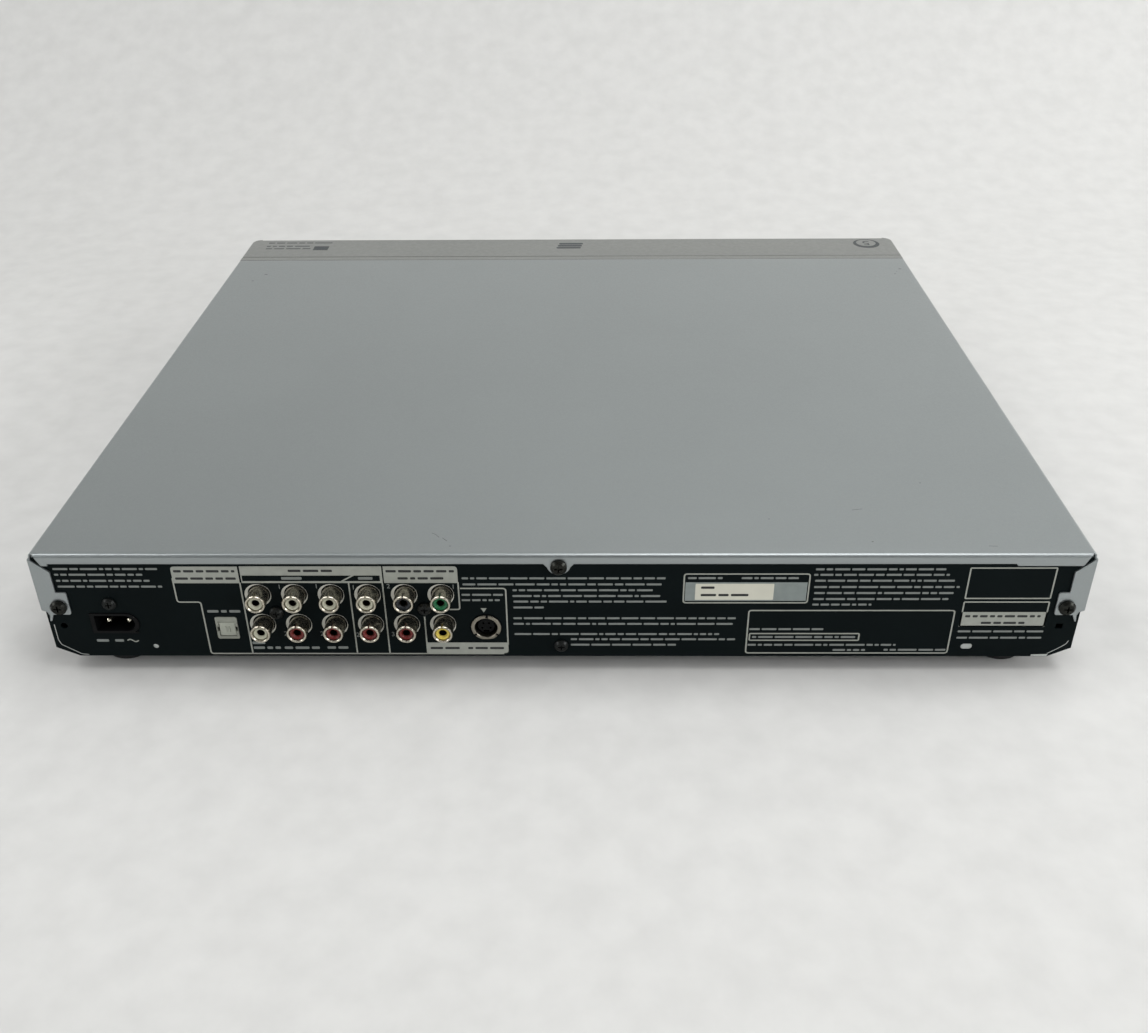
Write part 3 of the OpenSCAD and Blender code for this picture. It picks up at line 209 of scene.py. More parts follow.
def box_outline(x0, z0, x1, z1, radii=(0, 0, 0, 0), steps=4):
    """Corners of a rectangle in order, each with its own radius."""
    corners = [(x0, z0), (x1, z0), (x1, z1), (x0, z1)]
    out = []
    for i, (corner, radius) in enumerate(zip(corners, radii)):
        if radius:
            out += rounded([corners[i - 1], corner, corners[(i + 1) % 4]], radius, steps)[1:-1]
        else:
            out.append(corner)
    return out


def ring_points(x, z, radius, count=48):
    return [(x + radius * math.cos(2 * math.pi * k / count), z + radius * math.sin(2 * math.pi * k / count))
            for k in range(count)]


def frame_line(bm, where, x0, z0, x1, z1, radius, width, thick):
    """A rectangular frame with round corners."""
    half = width / 2
    outer = box_outline(x0 - half, z0 - half, x1 + half, z1 + half, (radius + half,) * 4)
    inner = box_outline(x0 + half, z0 + half, x1 - half, z1 - half, (radius - half,) * 4)
    hoop(bm, where, outer, inner, thick)


def numeral(bm, where, text, height, x, z, thick):
    """Plain figures, centred on a place in flat millimetres."""
    curve = bpy.data.curves.new("figures", "FONT")
    curve.body = text
    curve.size = height / FIGURE_SHARE
    curve.resolution_u = 3
    curve.extrude = thick / 2
    curve.align_x = curve.align_y = "CENTER"
    holder = bpy.data.objects.new("figures", curve)
    mesh = bpy.data.meshes.new_from_object(holder)
    mesh.transform(where @ Matrix.Translation((x, z, thick / 2)))
    known = len(bm.verts)
    bm.from_mesh(mesh)
    bm.verts.ensure_lookup_table()
    bmesh.ops.remove_doubles(bm, verts=bm.verts[known:], dist=WELD)
    bpy.data.objects.remove(holder)
    bpy.data.curves.remove(curve)
    bpy.data.meshes.remove(mesh)


def word_row(bm, where, rng, start, end, middle, height, thick, longest=9):
    """A row of small rounded bars, as long as words, from start to end."""
    letter = height * LETTER
    low, high = middle - height / 2, middle + height / 2
    x = start
    while x < end - letter:
        length = min(rng.randint(2, longest) * letter, end - x)
        if end - (x + length) < 2 * letter:
            length = end - x
        plate(bm, where, box_outline(x, low, x + length, high, (height * BAR_END,) * 4, 2), thick)
        x += length + letter * WORD_GAP


def piece(name, body, material, build):
    """Makes a mesh with build(bm), gives it a finish and lets it ride on a body, or stand on the stage."""
    bm = bmesh.new()
    build(bm)
    if body:
        bmesh.ops.recalc_face_normals(bm, faces=bm.faces)
    mesh = bpy.data.meshes.new(name)
    bm.to_mesh(mesh)
    bm.free()
    mesh.materials.append(material)
    made = bpy.data.objects.new(name, mesh)
    bpy.context.scene.collection.objects.link(made)
    if body:
        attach(made, body)


# ---------- material helpers ----------

# Noise seldom leaves this range
NOISE_LOW, NOISE_HIGH = 0.3, 0.7


def add(tree, kind, inputs=None, **settings):
    """Adds a shader node. Settings are its properties; inputs are values or other outputs, by socket."""
    made = tree.nodes.new("ShaderNode" + kind)
    for name, value in settings.items():
        setattr(made, name, value)
    for socket, value in (inputs or {}).items():
        if isinstance(value, bpy.types.NodeSocket):
            tree.links.new(value, made.inputs[socket])
        else:
            made.inputs[socket].default_value = value
    return made


def lighter(colour, by):
    return tuple(max(0.0, min(1.0, c * (1 + by))) for c in colour[:3]) + (1.0,)


def finish(name, colour, rough, vary=0.06, cloud=30, grain=0.6, relief=0.004, along=(1, 1, 1), edge=0.0,
           speck=None, **constants):
    """A worked surface: colour that clouds over `cloud` mm, and roughness and relief at `grain` mm.

    rough is the least and greatest roughness; along stretches the grain; edge rounds the light over
    edges by that many metres; speck is a size in mm, a share and a colour for small specks.
    """
    material = bpy.data.materials.new(name)
    material.use_nodes = True
    tree = material.node_tree
    tree.nodes.clear()
    place = add(tree, "TexCoord").outputs["Object"]
    drawn = add(tree, "Mapping", {"Vector": place, "Scale": along}).outputs["Vector"]
    clouds = add(tree, "TexNoise", {"Vector": place, "Scale": 1 / (cloud * MM), "Detail": 4}).outputs["Fac"]
    grains = add(tree, "TexNoise", {"Vector": drawn, "Scale": 1 / (grain * MM), "Detail": 2}).outputs["Fac"]
    drift = add(tree, "MapRange",
                {"Value": clouds, "From Min": NOISE_LOW, "From Max": NOISE_HIGH}).outputs["Result"]
    tone = add(tree, "MixRGB", {"Fac": drift, "Color1": lighter(colour, -vary),
                                "Color2": lighter(colour, vary)}).outputs["Color"]
    if speck:
        size, share, fleck = speck
        cells = add(tree, "TexVoronoi", {"Vector": place, "Scale": 1 / (size * MM)})
        spot = add(tree, "Math", {0: cells.outputs["Distance"], 1: share}, operation="LESS_THAN").outputs[0]
        tone = add(tree, "MixRGB", {"Fac": spot, "Color1": tone, "Color2": fleck}).outputs["Color"]
    low, high = rough
    dull = add(tree, "MapRange", {"Value": grains, "From Min": NOISE_LOW, "From Max": NOISE_HIGH,
                                  "To Min": low, "To Max": high}).outputs["Result"]
    bump = {"Height": grains, "Distance": relief * MM}
    if edge:
        bump["Normal"] = add(tree, "Bevel", {"Radius": edge}, samples=4).outputs["Normal"]
    normal = add(tree, "Bump", bump).outputs["Normal"]
    look = {"Base Color": tone, "Roughness": dull, "Normal": normal, **constants}
    shader = add(tree, "BsdfPrincipled", look).outputs["BSDF"]
    add(tree, "OutputMaterial", {"Surface": shader}, is_active_output=True)
    return material


def wear(nodes, *base, **details):
    """Gives CAD nodes one finish, and returns it."""
    material = finish(*base, **details)
    for name in nodes:
        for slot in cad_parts[name].material_slots:
            slot.material = material
    return material


# ---------- prints on the rear panel ----------

# Bands of light ink: X from and to, height from and to, radii of the corners
BANDS = [
    (158.0, 130.7, 37.5, 45.7, (0, 0, 0, 1.6)),
    (129.9, 72.2, 41.3, 45.8, (0, 0, 0, 0)),
    (129.9, 129.5, 38.5, 41.3, (0, 0, 0, 0)),
    (73.2, 72.2, 38.5, 41.3, (0, 0, 0, 0)),
    (129.9, 72.2, 37.6, 38.5, (0, 0, 0, 0)),
    (71.6, 41.5, 37.6, 45.8, (0, 0, 1.6, 0)),
    (56.2, 22.1, 1.5, 7.1, (0, 1.6, 0, 0)),
    (-165.2, -200.5, 15.5, 23.0, (0, 0, 0, 0)),
]
# Lines of light ink, with the radius of their corners
LINES = [
    ([(158.0, 40.0), (158.0, 28.0), (148.4, 28.0), (148.4, 1.2), (24.0, 1.2)], 1.2),
    ([(130.7, 37.8), (130.7, 1.2)], 0),
    ([(86.2, 37.8), (86.2, 1.2)], 0),
    ([(72.4, 37.8), (72.4, 1.2)], 0),
    ([(41.5, 38.0), (41.5, 24.3), (45.8, 24.3)], 1.0),
    ([(56.4, 20.6), (56.4, 1.2)], 0),
    ([(40.9, 34.9), (22.2, 34.9), (22.2, 6.0)], 1.4),
    ([(89.0, 38.4), (83.8, 41.5)], 0),
]
# Frames: X from and to, height from and to, corner radius
FRAMES = [
    (-50.5, -101.3, 27.7, 42.0, 1.2),
    (-77.8, -162.4, 1.7, 23.8, 1.2),
    (-78.9, -124.5, 8.4, 11.9, 0.5),
    (-165.5, -200.1, 29.9, 44.9, 0.4),
    (-165.5, -200.2, 15.8, 28.1, 0.4),
]
# Small rows on the black: X from and to, height
ROWS = [
    (206.0, 163.3, 44.5), (206.0, 169.9, 41.7), (205.9, 167.5, 38.7), (205.9, 162.9, 35.8),
    (39.9, -42.9, 39.9), (39.7, -41.4, 36.9), (19.4, -37.9, 34.0), (19.5, -41.0, 31.1),
    (19.2, -43.7, 28.3), (19.3, 6.8, 25.3), (19.5, -72.6, 19.8), (19.6, -71.5, 16.9),
    (19.3, -66.2, 11.6), (-4.2, -73.0, 8.9), (-4.2, -48.4, 6.0),
    (-103.3, -155.6, 44.3), (-102.8, -157.5, 41.6), (-103.5, -159.9, 38.7), (-103.4, -162.4, 35.6),
    (-103.7, -160.4, 32.6), (-103.6, -158.7, 29.6), (-103.5, -127.7, 26.8),
    (40.4, 23.4, 31.7), (40.5, 24.8, 29.0), (-52.0, -66.0, 40.0), (-73.7, -96.8, 40.0),
    (-78.6, -109.3, 14.2), (-80.0, -123.0, 10.1), (-78.4, -140.4, 6.0),
    (-114.3, -127.9, 3.3), (-135.7, -161.6, 3.4), (-165.2, -200.6, 13.1), (-165.2, -200.4, 9.8),
]
# Taller words on the black, and words in dark ink on the light bands
TALL_ROWS = [
    (130.1, 124.7, 6.9), (129.9, 118.4, 4.3), (116.8, 101.9, 4.3), (98.6, 89.8, 4.4),
    (146.5, 132.7, 23.3), (195.8, 190.6, 8.1), (188.0, 184.3, 8.1), (113.5, 105.1, 39.9),
    (82.1, 76.2, 39.9),
]
BAND_ROWS = [
    (157.0, 132.0, 43.4), (156.8, 132.0, 39.8), (110.3, 92.3, 43.6), (70.6, 42.8, 43.4),
    (66.0, 47.3, 39.9), (55.0, 42.7, 4.2), (39.1, 24.0, 4.2), (-57.5, -63.0, 35.3), (-57.5, -77.0, 31.6),
    (-167.0, -198.0, 20.9), (-174.0, -192.0, 17.5),
]
# Heights of the taller bars and of those on the bands, against a small row, and of the jack figures in mm
TALL_BAR, BAND_BAR, JACK_FIGURE = 1.35, 1.2, 2.2
# Jack figures: X, height, figure
JACK_FIGURES = [
    (114.8, 35.6, "1"), (99.6, 35.9, "1"), (84.5, 35.3, "1"), (70.1, 35.9, "2"), (43.6, 35.6, "1"),
    (115.3, 11.7, "2"), (100.0, 11.7, "2"), (85.0, 11.1, "2"), (70.2, 11.4, "3"),
]
# Middle of the first phono column, the two rows and the pitch, on the rear panel
JACK_X, JACK_ROWS, JACK_PITCH, JACK_COLUMNS = 123.6, (32.05, 17.0), 15.05, 6
# Radii of a jack's hole and of the ink round it, how far off centre the ink sits, and its least width
JACK_HOLE, JACK_RING, RING_SHIFT, RING_LEAST = 4.65, 5.4, (0.6, 0.5), 0.12
# The arrow over the round socket, and the inlet's wave: X and height of its start, length, swing, width
ARROW = [(32.9, 24.9), (31.7, 22.8), (30.4, 24.9)]
WAVE_X, WAVE_Z, WAVE_LONG, WAVE_SWING, WAVE_WIDE = 182.8, 8.1, 4.7, 0.6, 0.5
# Lines cross the bands, so their ink is this many times as thick
LINE_LIFT = 1.3
# The strip and the label over it, in the panel's own plane, and the strip's share of the label's thickness
LABEL_STRIP, LABEL_PAPER, STRIP_THIN = (51.1, 28.7, 100.6, 37.9), (55.2, 29.2, 87.2, 37.2), 0.8


def ink(name, colour, rough=(0.45, 0.6)):
    # Screen ink: a thin, even, slightly chalky coat that breaks up a little over the paint's texture.
    return finish("screen_ink_" + name, colour, rough, vary=0.07, cloud=3, grain=0.5, relief=0.002)


class PLAYER_OT_panel_print(bpy.types.Operator):
    """Bands, frames, dividers and jack rings in light ink"""

    bl_idname = "player.panel_print"
    bl_label = "Panel print"

    def execute(self, context):
        look = context.scene.player_print
        thick, width = look.thickness / MM, look.line / MM

        def bands(bm):
            for x0, x1, z0, z1, radii in BANDS:
                low, high = rear(x0, z0), rear(x1, z1)
                plate(bm, REAR_FACE, box_outline(*low, *high, radii), thick)

        def lines(bm):
            for points, radius in LINES:
                run = [rear(*p) for p in points]
                stroke(bm, REAR_FACE, rounded(run, radius), width, thick * LINE_LIFT)
            for x0, x1, z0, z1, radius in FRAMES:
                frame_line(bm, REAR_FACE, -x0, z0, -x1, z1, radius, width, thick)
            plate(bm, REAR_FACE, [rear(*p) for p in ARROW], thick)
            wave = [rear(WAVE_X - WAVE_LONG * k / 12, WAVE_Z + WAVE_SWING * math.sin(2 * math.pi * k / 12))
                    for k in range(13)]
            stroke(bm, REAR_FACE, wave, WAVE_WIDE, thick)

        def rings(bm):
            for column in range(JACK_COLUMNS):
                for height in JACK_ROWS:
                    x, z = rear(JACK_X - column * JACK_PITCH, height)
                    inner = ring_points(x, z, JACK_HOLE)
                    outer = []
                    for px, pz in ring_points(x, z, JACK_RING):
                        shifted = Vector((px - RING_SHIFT[0] - x, pz - RING_SHIFT[1] - z))
                        along = Vector((px - x, pz - z)).normalized()
                        reach = max(JACK_HOLE + RING_LEAST, shifted.dot(along))
                        outer.append((x + along.x * reach, z + along.y * reach))
                    hoop(bm, REAR_FACE, outer, inner, thick)

        light = ink("warm_grey", look.light)
        piece("panel_bands", "root", light, bands)
        piece("panel_lines", "root", light, lines)
        piece("jack_rings", "root", ink("pale_ring", look.ring), rings)
        return {"FINISHED"}


class PLAYER_OT_panel_words(bpy.types.Operator):
    """Rows of small bars and plain figures that stand where wording would be"""

    bl_idname = "player.panel_words"
    bl_label = "Panel rows and figures"

    def execute(self, context):
        look = context.scene.player_print
        thick, height = look.thickness / MM, look.row / MM
        rng = random.Random(look.seed)

        def rows(bm):
            for x0, x1, z in ROWS:
                word_row(bm, REAR_FACE, rng, -x0, -x1, z, height, thick)
            for x0, x1, z in TALL_ROWS:
                word_row(bm, REAR_FACE, rng, -x0, -x1, z, height * TALL_BAR, thick, 7)
            for x, z, figure in JACK_FIGURES:
                numeral(bm, REAR_FACE, figure, JACK_FIGURE, *rear(x, z), thick)

        def band_rows(bm):
            on_bands = REAR_FACE @ Matrix.Translation((0, 0, thick))
            for x0, x1, z in BAND_ROWS:
                word_row(bm, on_bands, rng, -x0, -x1, z, height * BAND_BAR, thick, 6)

        piece("panel_rows", "root", ink("soft_grey", look.words), rows)
        piece("band_rows", "root", ink("black", look.dark), band_rows)
        return {"FINISHED"}


class PLAYER_OT_label(bpy.types.Operator):
    """Grey strip and cream paper label in the upper frame"""

    bl_idname = "player.label"
    bl_label = "Paper label"

    def execute(self, context):
        look = context.scene.player_print
        thick = look.thickness / MM
        piece("label_strip", "root", ink("strip_grey", look.strip),
              lambda bm: plate(bm, REAR_FACE, box_outline(*LABEL_STRIP), thick * STRIP_THIN))
        # Coated label paper: matt cream with a faint fibre.
        paper = finish("coated_label_paper", look.label, (0.6, 0.8), vary=0.03, cloud=6, grain=0.3,
                       relief=0.003)
        piece("label_paper", "root", paper,
              lambda bm: plate(bm, REAR_FACE, box_outline(*LABEL_PAPER, (0.4,) * 4), thick))
        return {"FINISHED"}


class PLAYER_OT_bare_metal(bpy.types.Operator):
    """Bright lines where the black enamel has been cut through at the panel's edge"""

    bl_idname = "player.bare_metal"
    bl_label = "Bare sheared edges"

    def execute(self, context):
        runs = [
            [(211.9, 16.5), (212.0, 8.6), (211.2, 6.0), (208.2, 4.0), (203.7, 1.0), (200.7, 0.6)],
            [(-212.0, 8.2), (-211.3, 6.5), (-208.0, 3.9), (-204.4, 1.5)],
        ]
        patch = [(-197.8, 0.1), (-197.8, 1.0), (-204.8, 1.2), (-204.4, 0.1)]
        width, proud = 0.3, 0.03
        # the locating hole and slot, and how deep and thick the steel behind them is
        hole, hole_radius = (171.3, 5.0), 1.15
        slot, slot_radius = (167.8, 3.75, 172.4, 6.45), 1.3
        sunk, steel_thick = 0.6, 0.3

        def build(bm):
            for points in runs:
                stroke(bm, REAR_FACE, rounded([rear(*p) for p in points], 0.5), width, proud)
            plate(bm, REAR_FACE, [rear(*p) for p in patch], proud)
            behind = REAR_FACE @ Matrix.Translation((0, 0, -sunk))
            plate(bm, behind, ring_points(*rear(*hole), hole_radius, 20), steel_thick)
            plate(bm, behind, box_outline(*slot, (slot_radius,) * 4), steel_thick)

        # Sheared mild steel: bare metal left by the tool, finely scored and brighter than the paint.
        steel = finish("sheared_mild_steel", linear("BFC3C1"), (0.3, 0.5), vary=0.1, cloud=2, grain=0.3,
                       along=(1, 8, 1), Metallic=0.9)
        piece("bare_edges", "root", steel, build)
        return {"FINISHED"}


class PLAYER_OT_front_marks(bpy.types.Operator):
    """Dark bars and a plain figure on top of the front, and marks on the keys"""

    bl_idname = "player.front_marks"
    bl_label = "Front marks"

    def execute(self, context):
        look = context.scene.player_print
        thick = look.thickness / MM
        rng = random.Random(look.seed + 1)
        # X from and to, and Y, of the small bars and of the three heavy ones, and their heights
        small = ((203.2, 160.4, 189.6), (203.2, 174.3, 183.2), (202.8, 173.0, 178.2))
        heavy = ((7.9, -8.0, 186.2), (8.7, -7.3, 182.2), (9.5, -6.5, 178.2))
        small_tall, heavy_tall = 1.5, 3.0
        block = (-171.0, 175.2, -161.2, 182.8)
        # a round mark, thicker on one side, with a figure in its inner circle
        mark_x, outer_y, outer, inner_y, inner, figure = 196.3, 184.4, 8.6, 185.8, 6.4, 8.0

        def build(bm):
            for x0, x1, y in small:
                word_row(bm, FRONT_TOP, rng, -x0, -x1, y, small_tall, thick, 7)
            plate(bm, FRONT_TOP, box_outline(*block, (0.5,) * 4), thick)
            for x0, x1, y in heavy:
                word_row(bm, FRONT_TOP, rng, -x0, -x1, y, heavy_tall, thick, 5)
            rings = ring_points(mark_x, outer_y, outer), ring_points(mark_x, inner_y, inner)
            hoop(bm, FRONT_TOP, *rings, thick)
            # the figure stands upright for someone at the front
            upright = plane((-mark_x * MM, -inner_y * MM, BEZEL_TOP), (1, 0, 0), (0, 1, 0))
            numeral(bm, upright, "5", figure, 0, 0, thick)

        dark = ink("slate", linear("383D40"))
        piece("front_top_marks", "root", dark, build)

        def symbol(name, draw):
            low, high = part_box(name)
            middle = (low + high) / 2
            where = plane((middle.x, low.y, middle.z), (1, 0, 0), (0, 0, 1))
            piece(name + "_mark", name, dark, lambda bm: draw(bm, where))

        def tri(bm, where, x, size, facing=1):
            back, tip, half = x - facing * size / 2, x + facing * size / 2, size * 0.6
            plate(bm, where, [(back, -half), (tip, 0), (back, half)][::facing], thick)

        def bar(bm, where, x0, z0, x1, z1):
            plate(bm, where, box_outline(x0, z0, x1, z1), thick)

        def power(bm, where):
            radius, gap = 2.2, 35
            turns = [math.radians(gap + (360 - 2 * gap) * k / 20) for k in range(21)]
            stroke(bm, where, [(radius * math.sin(a), radius * math.cos(a)) for a in turns], 0.5, thick)
            bar(bm, where, -0.25, 0.6, 0.25, 2.9)

        def skip(bm, where, facing):
            for x in (-facing, facing):
                tri(bm, where, x, 2.0, facing)
            near, far = sorted((2.1 * facing, 2.6 * facing))
            bar(bm, where, near, -1.2, far, 1.2)

        def disc(bm, where):
            for outer, inner in ((1.9, 1.45), (0.6, 0.3)):
                hoop(bm, where, ring_points(0, 0, outer, 32), ring_points(0, 0, inner, 32), thick)

        def eject(bm, where):
            plate(bm, where, [(-1.8, -0.4), (1.8, -0.4), (0, 1.7)], thick)
            bar(bm, where, -1.8, -1.5, 1.8, -0.95)

        symbol("power_button", power)
        symbol("play_button", lambda bm, where: tri(bm, where, 0.2, 3.0))
        symbol("stop_button", lambda bm, where: bar(bm, where, -1.3, -1.3, 1.3, 1.3))
        symbol("skip_next_button", lambda bm, where: skip(bm, where, 1))
        symbol("skip_back_button", lambda bm, where: skip(bm, where, -1))
        symbol("disc_button", disc)
        symbol("open_button", eject)
        return {"FINISHED"}


class PLAYER_OT_pocket_figures(bpy.types.Operator):
    """Plain figures between the carousel's pockets"""

    bl_idname = "player.pocket_figures"
    bl_label = "Pocket figures"

    def execute(self, context):
        look = context.scene.player_print
        # the first figure's bearing in degrees, how far out they stand in metres, and their height in mm
        pockets, first, out, height = 5, 126, 0.146, 9.0
        hub = Vector((CAROUSEL_MIDDLE.x, CAROUSEL_MIDDLE.y, POCKET_FIGURE_Z))

        def build(bm):
            for k in range(pockets):
                turn = math.radians(first + 360 / pockets * k)
                outward = Vector((math.cos(turn), math.sin(turn), 0))
                across = Vector((-outward.y, outward.x, 0))
                face = plane(hub + outward * out, across, -outward)
                numeral(bm, face, str(k + 1), height, 0, 0, look.thickness / MM)

        piece("pocket_figures", "carousel", ink("tray_grey", linear("9A9E9D")), build)
        return {"FINISHED"}


class PLAYER_OT_chips(bpy.types.Operator):
    """A few small chips and scratches in the cover's enamel"""

    bl_idname = "player.chips"
    bl_label = "Enamel chips"

    def execute(self, context):
        rng = random.Random(3)
        # X, Y and size of each chip, and X and Y along each scratch
        chips = [(191.3, -129.8, 1.1), (197.1, -118.7, 0.7), (-207.8, -136.2, 1.0), (-203.0, -127.5, 0.7),
                 (-205.0, -131.5, 0.4), (-127.0, 180.0, 0.5), (44.5, 183.1, 0.5), (-87.2, 162.5, 0.5),
                 (-157.3, 132.6, 0.45)]
        scratches = [[(52.9, 173.3), (51.2, 174.4), (49.6, 176.6)], [(48.2, 177.0), (46.1, 179.3)],
                     [(-123.2, 155.3), (-127.6, 154.5)], [(-173.0, 183.2), (-176.5, 183.4)]]
        corners, width, thick = 9, 0.22, 0.02

        def build(bm):
            turns = [2 * math.pi * k / corners for k in range(corners)]
            for x, y, size in chips:
                outline = [(-x + size * rng.uniform(0.6, 1.3) * math.cos(a),
                            -y + size * rng.uniform(0.3, 0.6) * math.sin(a)) for a in turns]
                plate(bm, COVER_FACE, outline, thick)
            for points in scratches:
                stroke(bm, COVER_FACE, [(-x, -y) for x, y in points], width, thick)

        # Steel seen through chipped enamel: dull, dark and slightly brown.
        steel = finish("chipped_to_steel", linear("5A5B57"), (0.5, 0.7), vary=0.2, cloud=1, grain=0.3)
        piece("cover_chips", "root", steel, build)
        return {"FINISHED"}


# ---------- finishes on the CAD nodes ----------


class PLAYER_OT_case_finish(bpy.types.Operator):
    """Enamel, paint, acrylic and plated screws of the case"""

    bl_idname = "player.case_finish"
    bl_label = "Case finishes"

    def execute(self, context):
        look = context.scene.player_case
        # Silver flake enamel on folded steel: even satin grey with a fine sparkle, an orange-peel skin
        # 0.9 mm apart and a soft edge that catches the light along every fold. The flakes are drawn
        # 0.7 mm apart, much coarser than real ones, so that they show.
        wear(["top_cover"], "silver_flake_enamel", look.cover, (0.3, 0.4), vary=0.02, cloud=90, grain=0.9,
             relief=0.0012, edge=0.0006, speck=(0.7, 0.16, lighter(look.cover, 0.12)), Metallic=0.85,
             **{"Coat Weight": 0.25, "Coat Roughness": 0.05})
        # Satin black enamel on steel: near black, faintly blue-green, with a fine sprayed texture.
        wear(["chassis_pan", "rear_panel"], "satin_black_enamel", look.panel, (0.42, 0.6), vary=0.12,
             cloud=25, grain=0.7, edge=0.0003, **{"Specular IOR Level": 0.04})
        # Silver-painted ABS: warmer and smoother than the cover, with a mould's long soft waves, and
        # flakes drawn as coarse as the cover's.
        wear(["front_bezel", "tray_door"], "silver_painted_abs", look.front, (0.32, 0.42), vary=0.02,
             cloud=60, grain=2.5, relief=0.0006, edge=look.edge,
             speck=(0.6, 0.14, lighter(look.front, 0.1)), Metallic=0.35)
        # Silver-painted ABS keys, polished a little by fingers.
        wear([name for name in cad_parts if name.endswith("_button")], "silver_painted_keys",
             look.button, (0.26, 0.36), vary=0.03, cloud=8, grain=1.2, relief=0.0003, edge=0.0003,
             Metallic=0.4)
        # Smoked acrylic: almost black and mirror smooth, with fine dust that dulls it in places.
        wear(["display_window"], "smoked_acrylic", look.window, (0.04, 0.12), vary=0.3, cloud=12, grain=1.5,
             relief=0.0003, speck=(1.4, 0.06, linear("33373A")), IOR=1.49)
        # Black thermoplastic rubber feet: matt, with a spark-eroded grain.
        wear(["feet"], "black_foot_rubber", linear("191A1A"), (0.7, 0.9), vary=0.15, cloud=6, relief=0.02)
        # Dark chromate on steel screws: an olive-grey plate with bright glints off its corners and cross.
        wear(["cover_screws"], "dark_chromate_steel", look.screw, (0.18, 0.4), vary=0.3, cloud=1.2,
             grain=0.25, relief=0.01, edge=0.0001, Metallic=0.9)
        # Black oxide on steel screws: almost the panel's black, a little glossier.
        wear(["panel_screws"], "black_oxide_steel", linear("151817"), (0.25, 0.45), vary=0.25, cloud=1.5,
             grain=0.3, relief=0.01, edge=0.0001, Metallic=0.6)
        return {"FINISHED"}


class PLAYER_OT_socket_finish(bpy.types.Operator):
    """Mouldings, plating and coloured insulators of the sockets"""

    bl_idname = "player.socket_finish"
    bl_label = "Socket finishes"

    def execute(self, context):
        look = context.scene.player_case
        # Black PBT moulding: satin, deeper than the enamel round it.
        wear(["ac_inlet", "jack_block", "svideo_socket"], "black_pbt_moulding", linear("0B0C0D"),
             (0.35, 0.55), vary=0.2, cloud=5, grain=0.5, edge=0.0001, **{"Specular IOR Level": 0.1})
        # Nickel on brass: a warm white metal, with turning marks round the barrels.
        wear(["jack_barrels"], "bright_nickel_plate", look.nickel, (0.16, 0.34), vary=0.08, cloud=3,
             grain=0.8, relief=0.0006, along=(1, 5, 1), edge=0.00015, Metallic=1.0)
        # The shell of the round socket is plated steel, duller than the turned barrels, with its nickel
        # darkened to half as painted shade on the thin ring.
        wear(["svideo_shell"], "dull_nickel_shell", lighter(look.nickel, -0.5), (0.25, 0.45), vary=0.1,
             cloud=3, grain=0.5, relief=0.001, edge=0.00015, Metallic=1.0)
        # Tinned brass pins: bright yellow-white and polished by plugs.
        wear(["inlet_pins"], "plated_brass_pin", linear("E2DDCB"), (0.1, 0.22), vary=0.06, cloud=2,
             grain=0.4, relief=0.002, Metallic=1.0)
        # Grey polycarbonate moulding, with a sprung shutter of the same plastic.
        wear(["optical_socket"], "grey_polycarbonate", look.optical, (0.35, 0.5), vary=0.05, cloud=4,
             grain=0.5, edge=0.00025)
        wear(["optical_shutter"], "grey_polycarbonate_shutter", lighter(look.optical, 0.5), (0.3, 0.45),
             vary=0.05, cloud=3, grain=0.5, edge=0.0002)
        # Dyed nylon insulators: smooth and slightly waxy, in the colours that tell the signals apart.
        for node, code in (("jacks_white", "BFBEAA"), ("jacks_red", "6F211E"), ("jacks_black", "15181E"),
                           ("jacks_green", "17683F"), ("jacks_yellow", "DDC75A")):
            wear([node], "dyed_nylon_" + node.split("_")[1], linear(code), (0.25, 0.4), vary=0.08, cloud=2,
                 grain=0.4, relief=0.003, edge=0.0002)
        # a contact's outer and inner radius and its length in mm, and how far in the barrel it starts
        outer, inner, deep, sunk = 1.59, 1.4, 11, 1.9 * MM
        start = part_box("jack_barrels")[1].y - sunk

        def wells(bm):
            for column in range(JACK_COLUMNS):
                for height in JACK_ROWS:
                    x = (JACK_X - column * JACK_PITCH) * MM
                    mouth = plane((x, start, PAN_Z + height * MM), (-1, 0, 0), (0, 0, 1))
                    hoop(bm, mouth, ring_points(0, 0, outer, 24), ring_points(0, 0, inner, 24), -deep)

        # Phosphor-bronze contact springs, coloured dark brown as painted shade for the deep inside of the
        # barrels, where little light gets.
        bronze = finish("phosphor_bronze_contact_painted_shade", linear("2A211B"), (0.4, 0.55), vary=0.15, cloud=2,
                        grain=0.4, relief=0.003, Metallic=1.0)
        piece("jack_contacts", "root", bronze, wells)
        return {"FINISHED"}


class PLAYER_OT_electronics_finish(bpy.types.Operator):
    """Boards, chips, transformer and capacitors"""

    bl_idname = "player.electronics_finish"
    bl_label = "Electronics finishes"

    def execute(self, context):
        # Green solder mask over copper: glossy, with tracks 0.9 mm apart, a shade lighter.
        mask = wear(["main_board", "front_board"], "green_solder_mask", linear("1F5A35"), (0.2, 0.35),
                    vary=0.1, cloud=10, grain=1.0)
        tracks(mask, 4.4, linear("2E7A48"))
        # Tan phenolic paper board: matt brown with a paper fibre.
        wear(["power_board"], "tan_phenolic_board", linear("9B7A49"), (0.5, 0.7), vary=0.1, cloud=5,
             grain=0.5, relief=0.006, along=(1, 6, 1))
        # Black epoxy packages: fine matt moulding.
        wear(["board_chips"], "black_epoxy_package", linear("1B1C1D"), (0.5, 0.7), vary=0.12, cloud=3,
             grain=0.4, edge=0.0002)
        # Yellow polyester winding tape: glossy, lapped in bands.
        wear(["transformer"], "yellow_winding_tape", linear("C8A032"), (0.2, 0.4), vary=0.1, cloud=6,
             grain=2.0, relief=0.02, along=(0.2, 1, 3))
        # Dark PVC sleeve shrunk on aluminium cans.
        wear(["capacitors"], "dark_pvc_sleeve", linear("1D2233"), (0.2, 0.35), vary=0.12, cloud=5,
             grain=0.8)
        return {"FINISHED"}


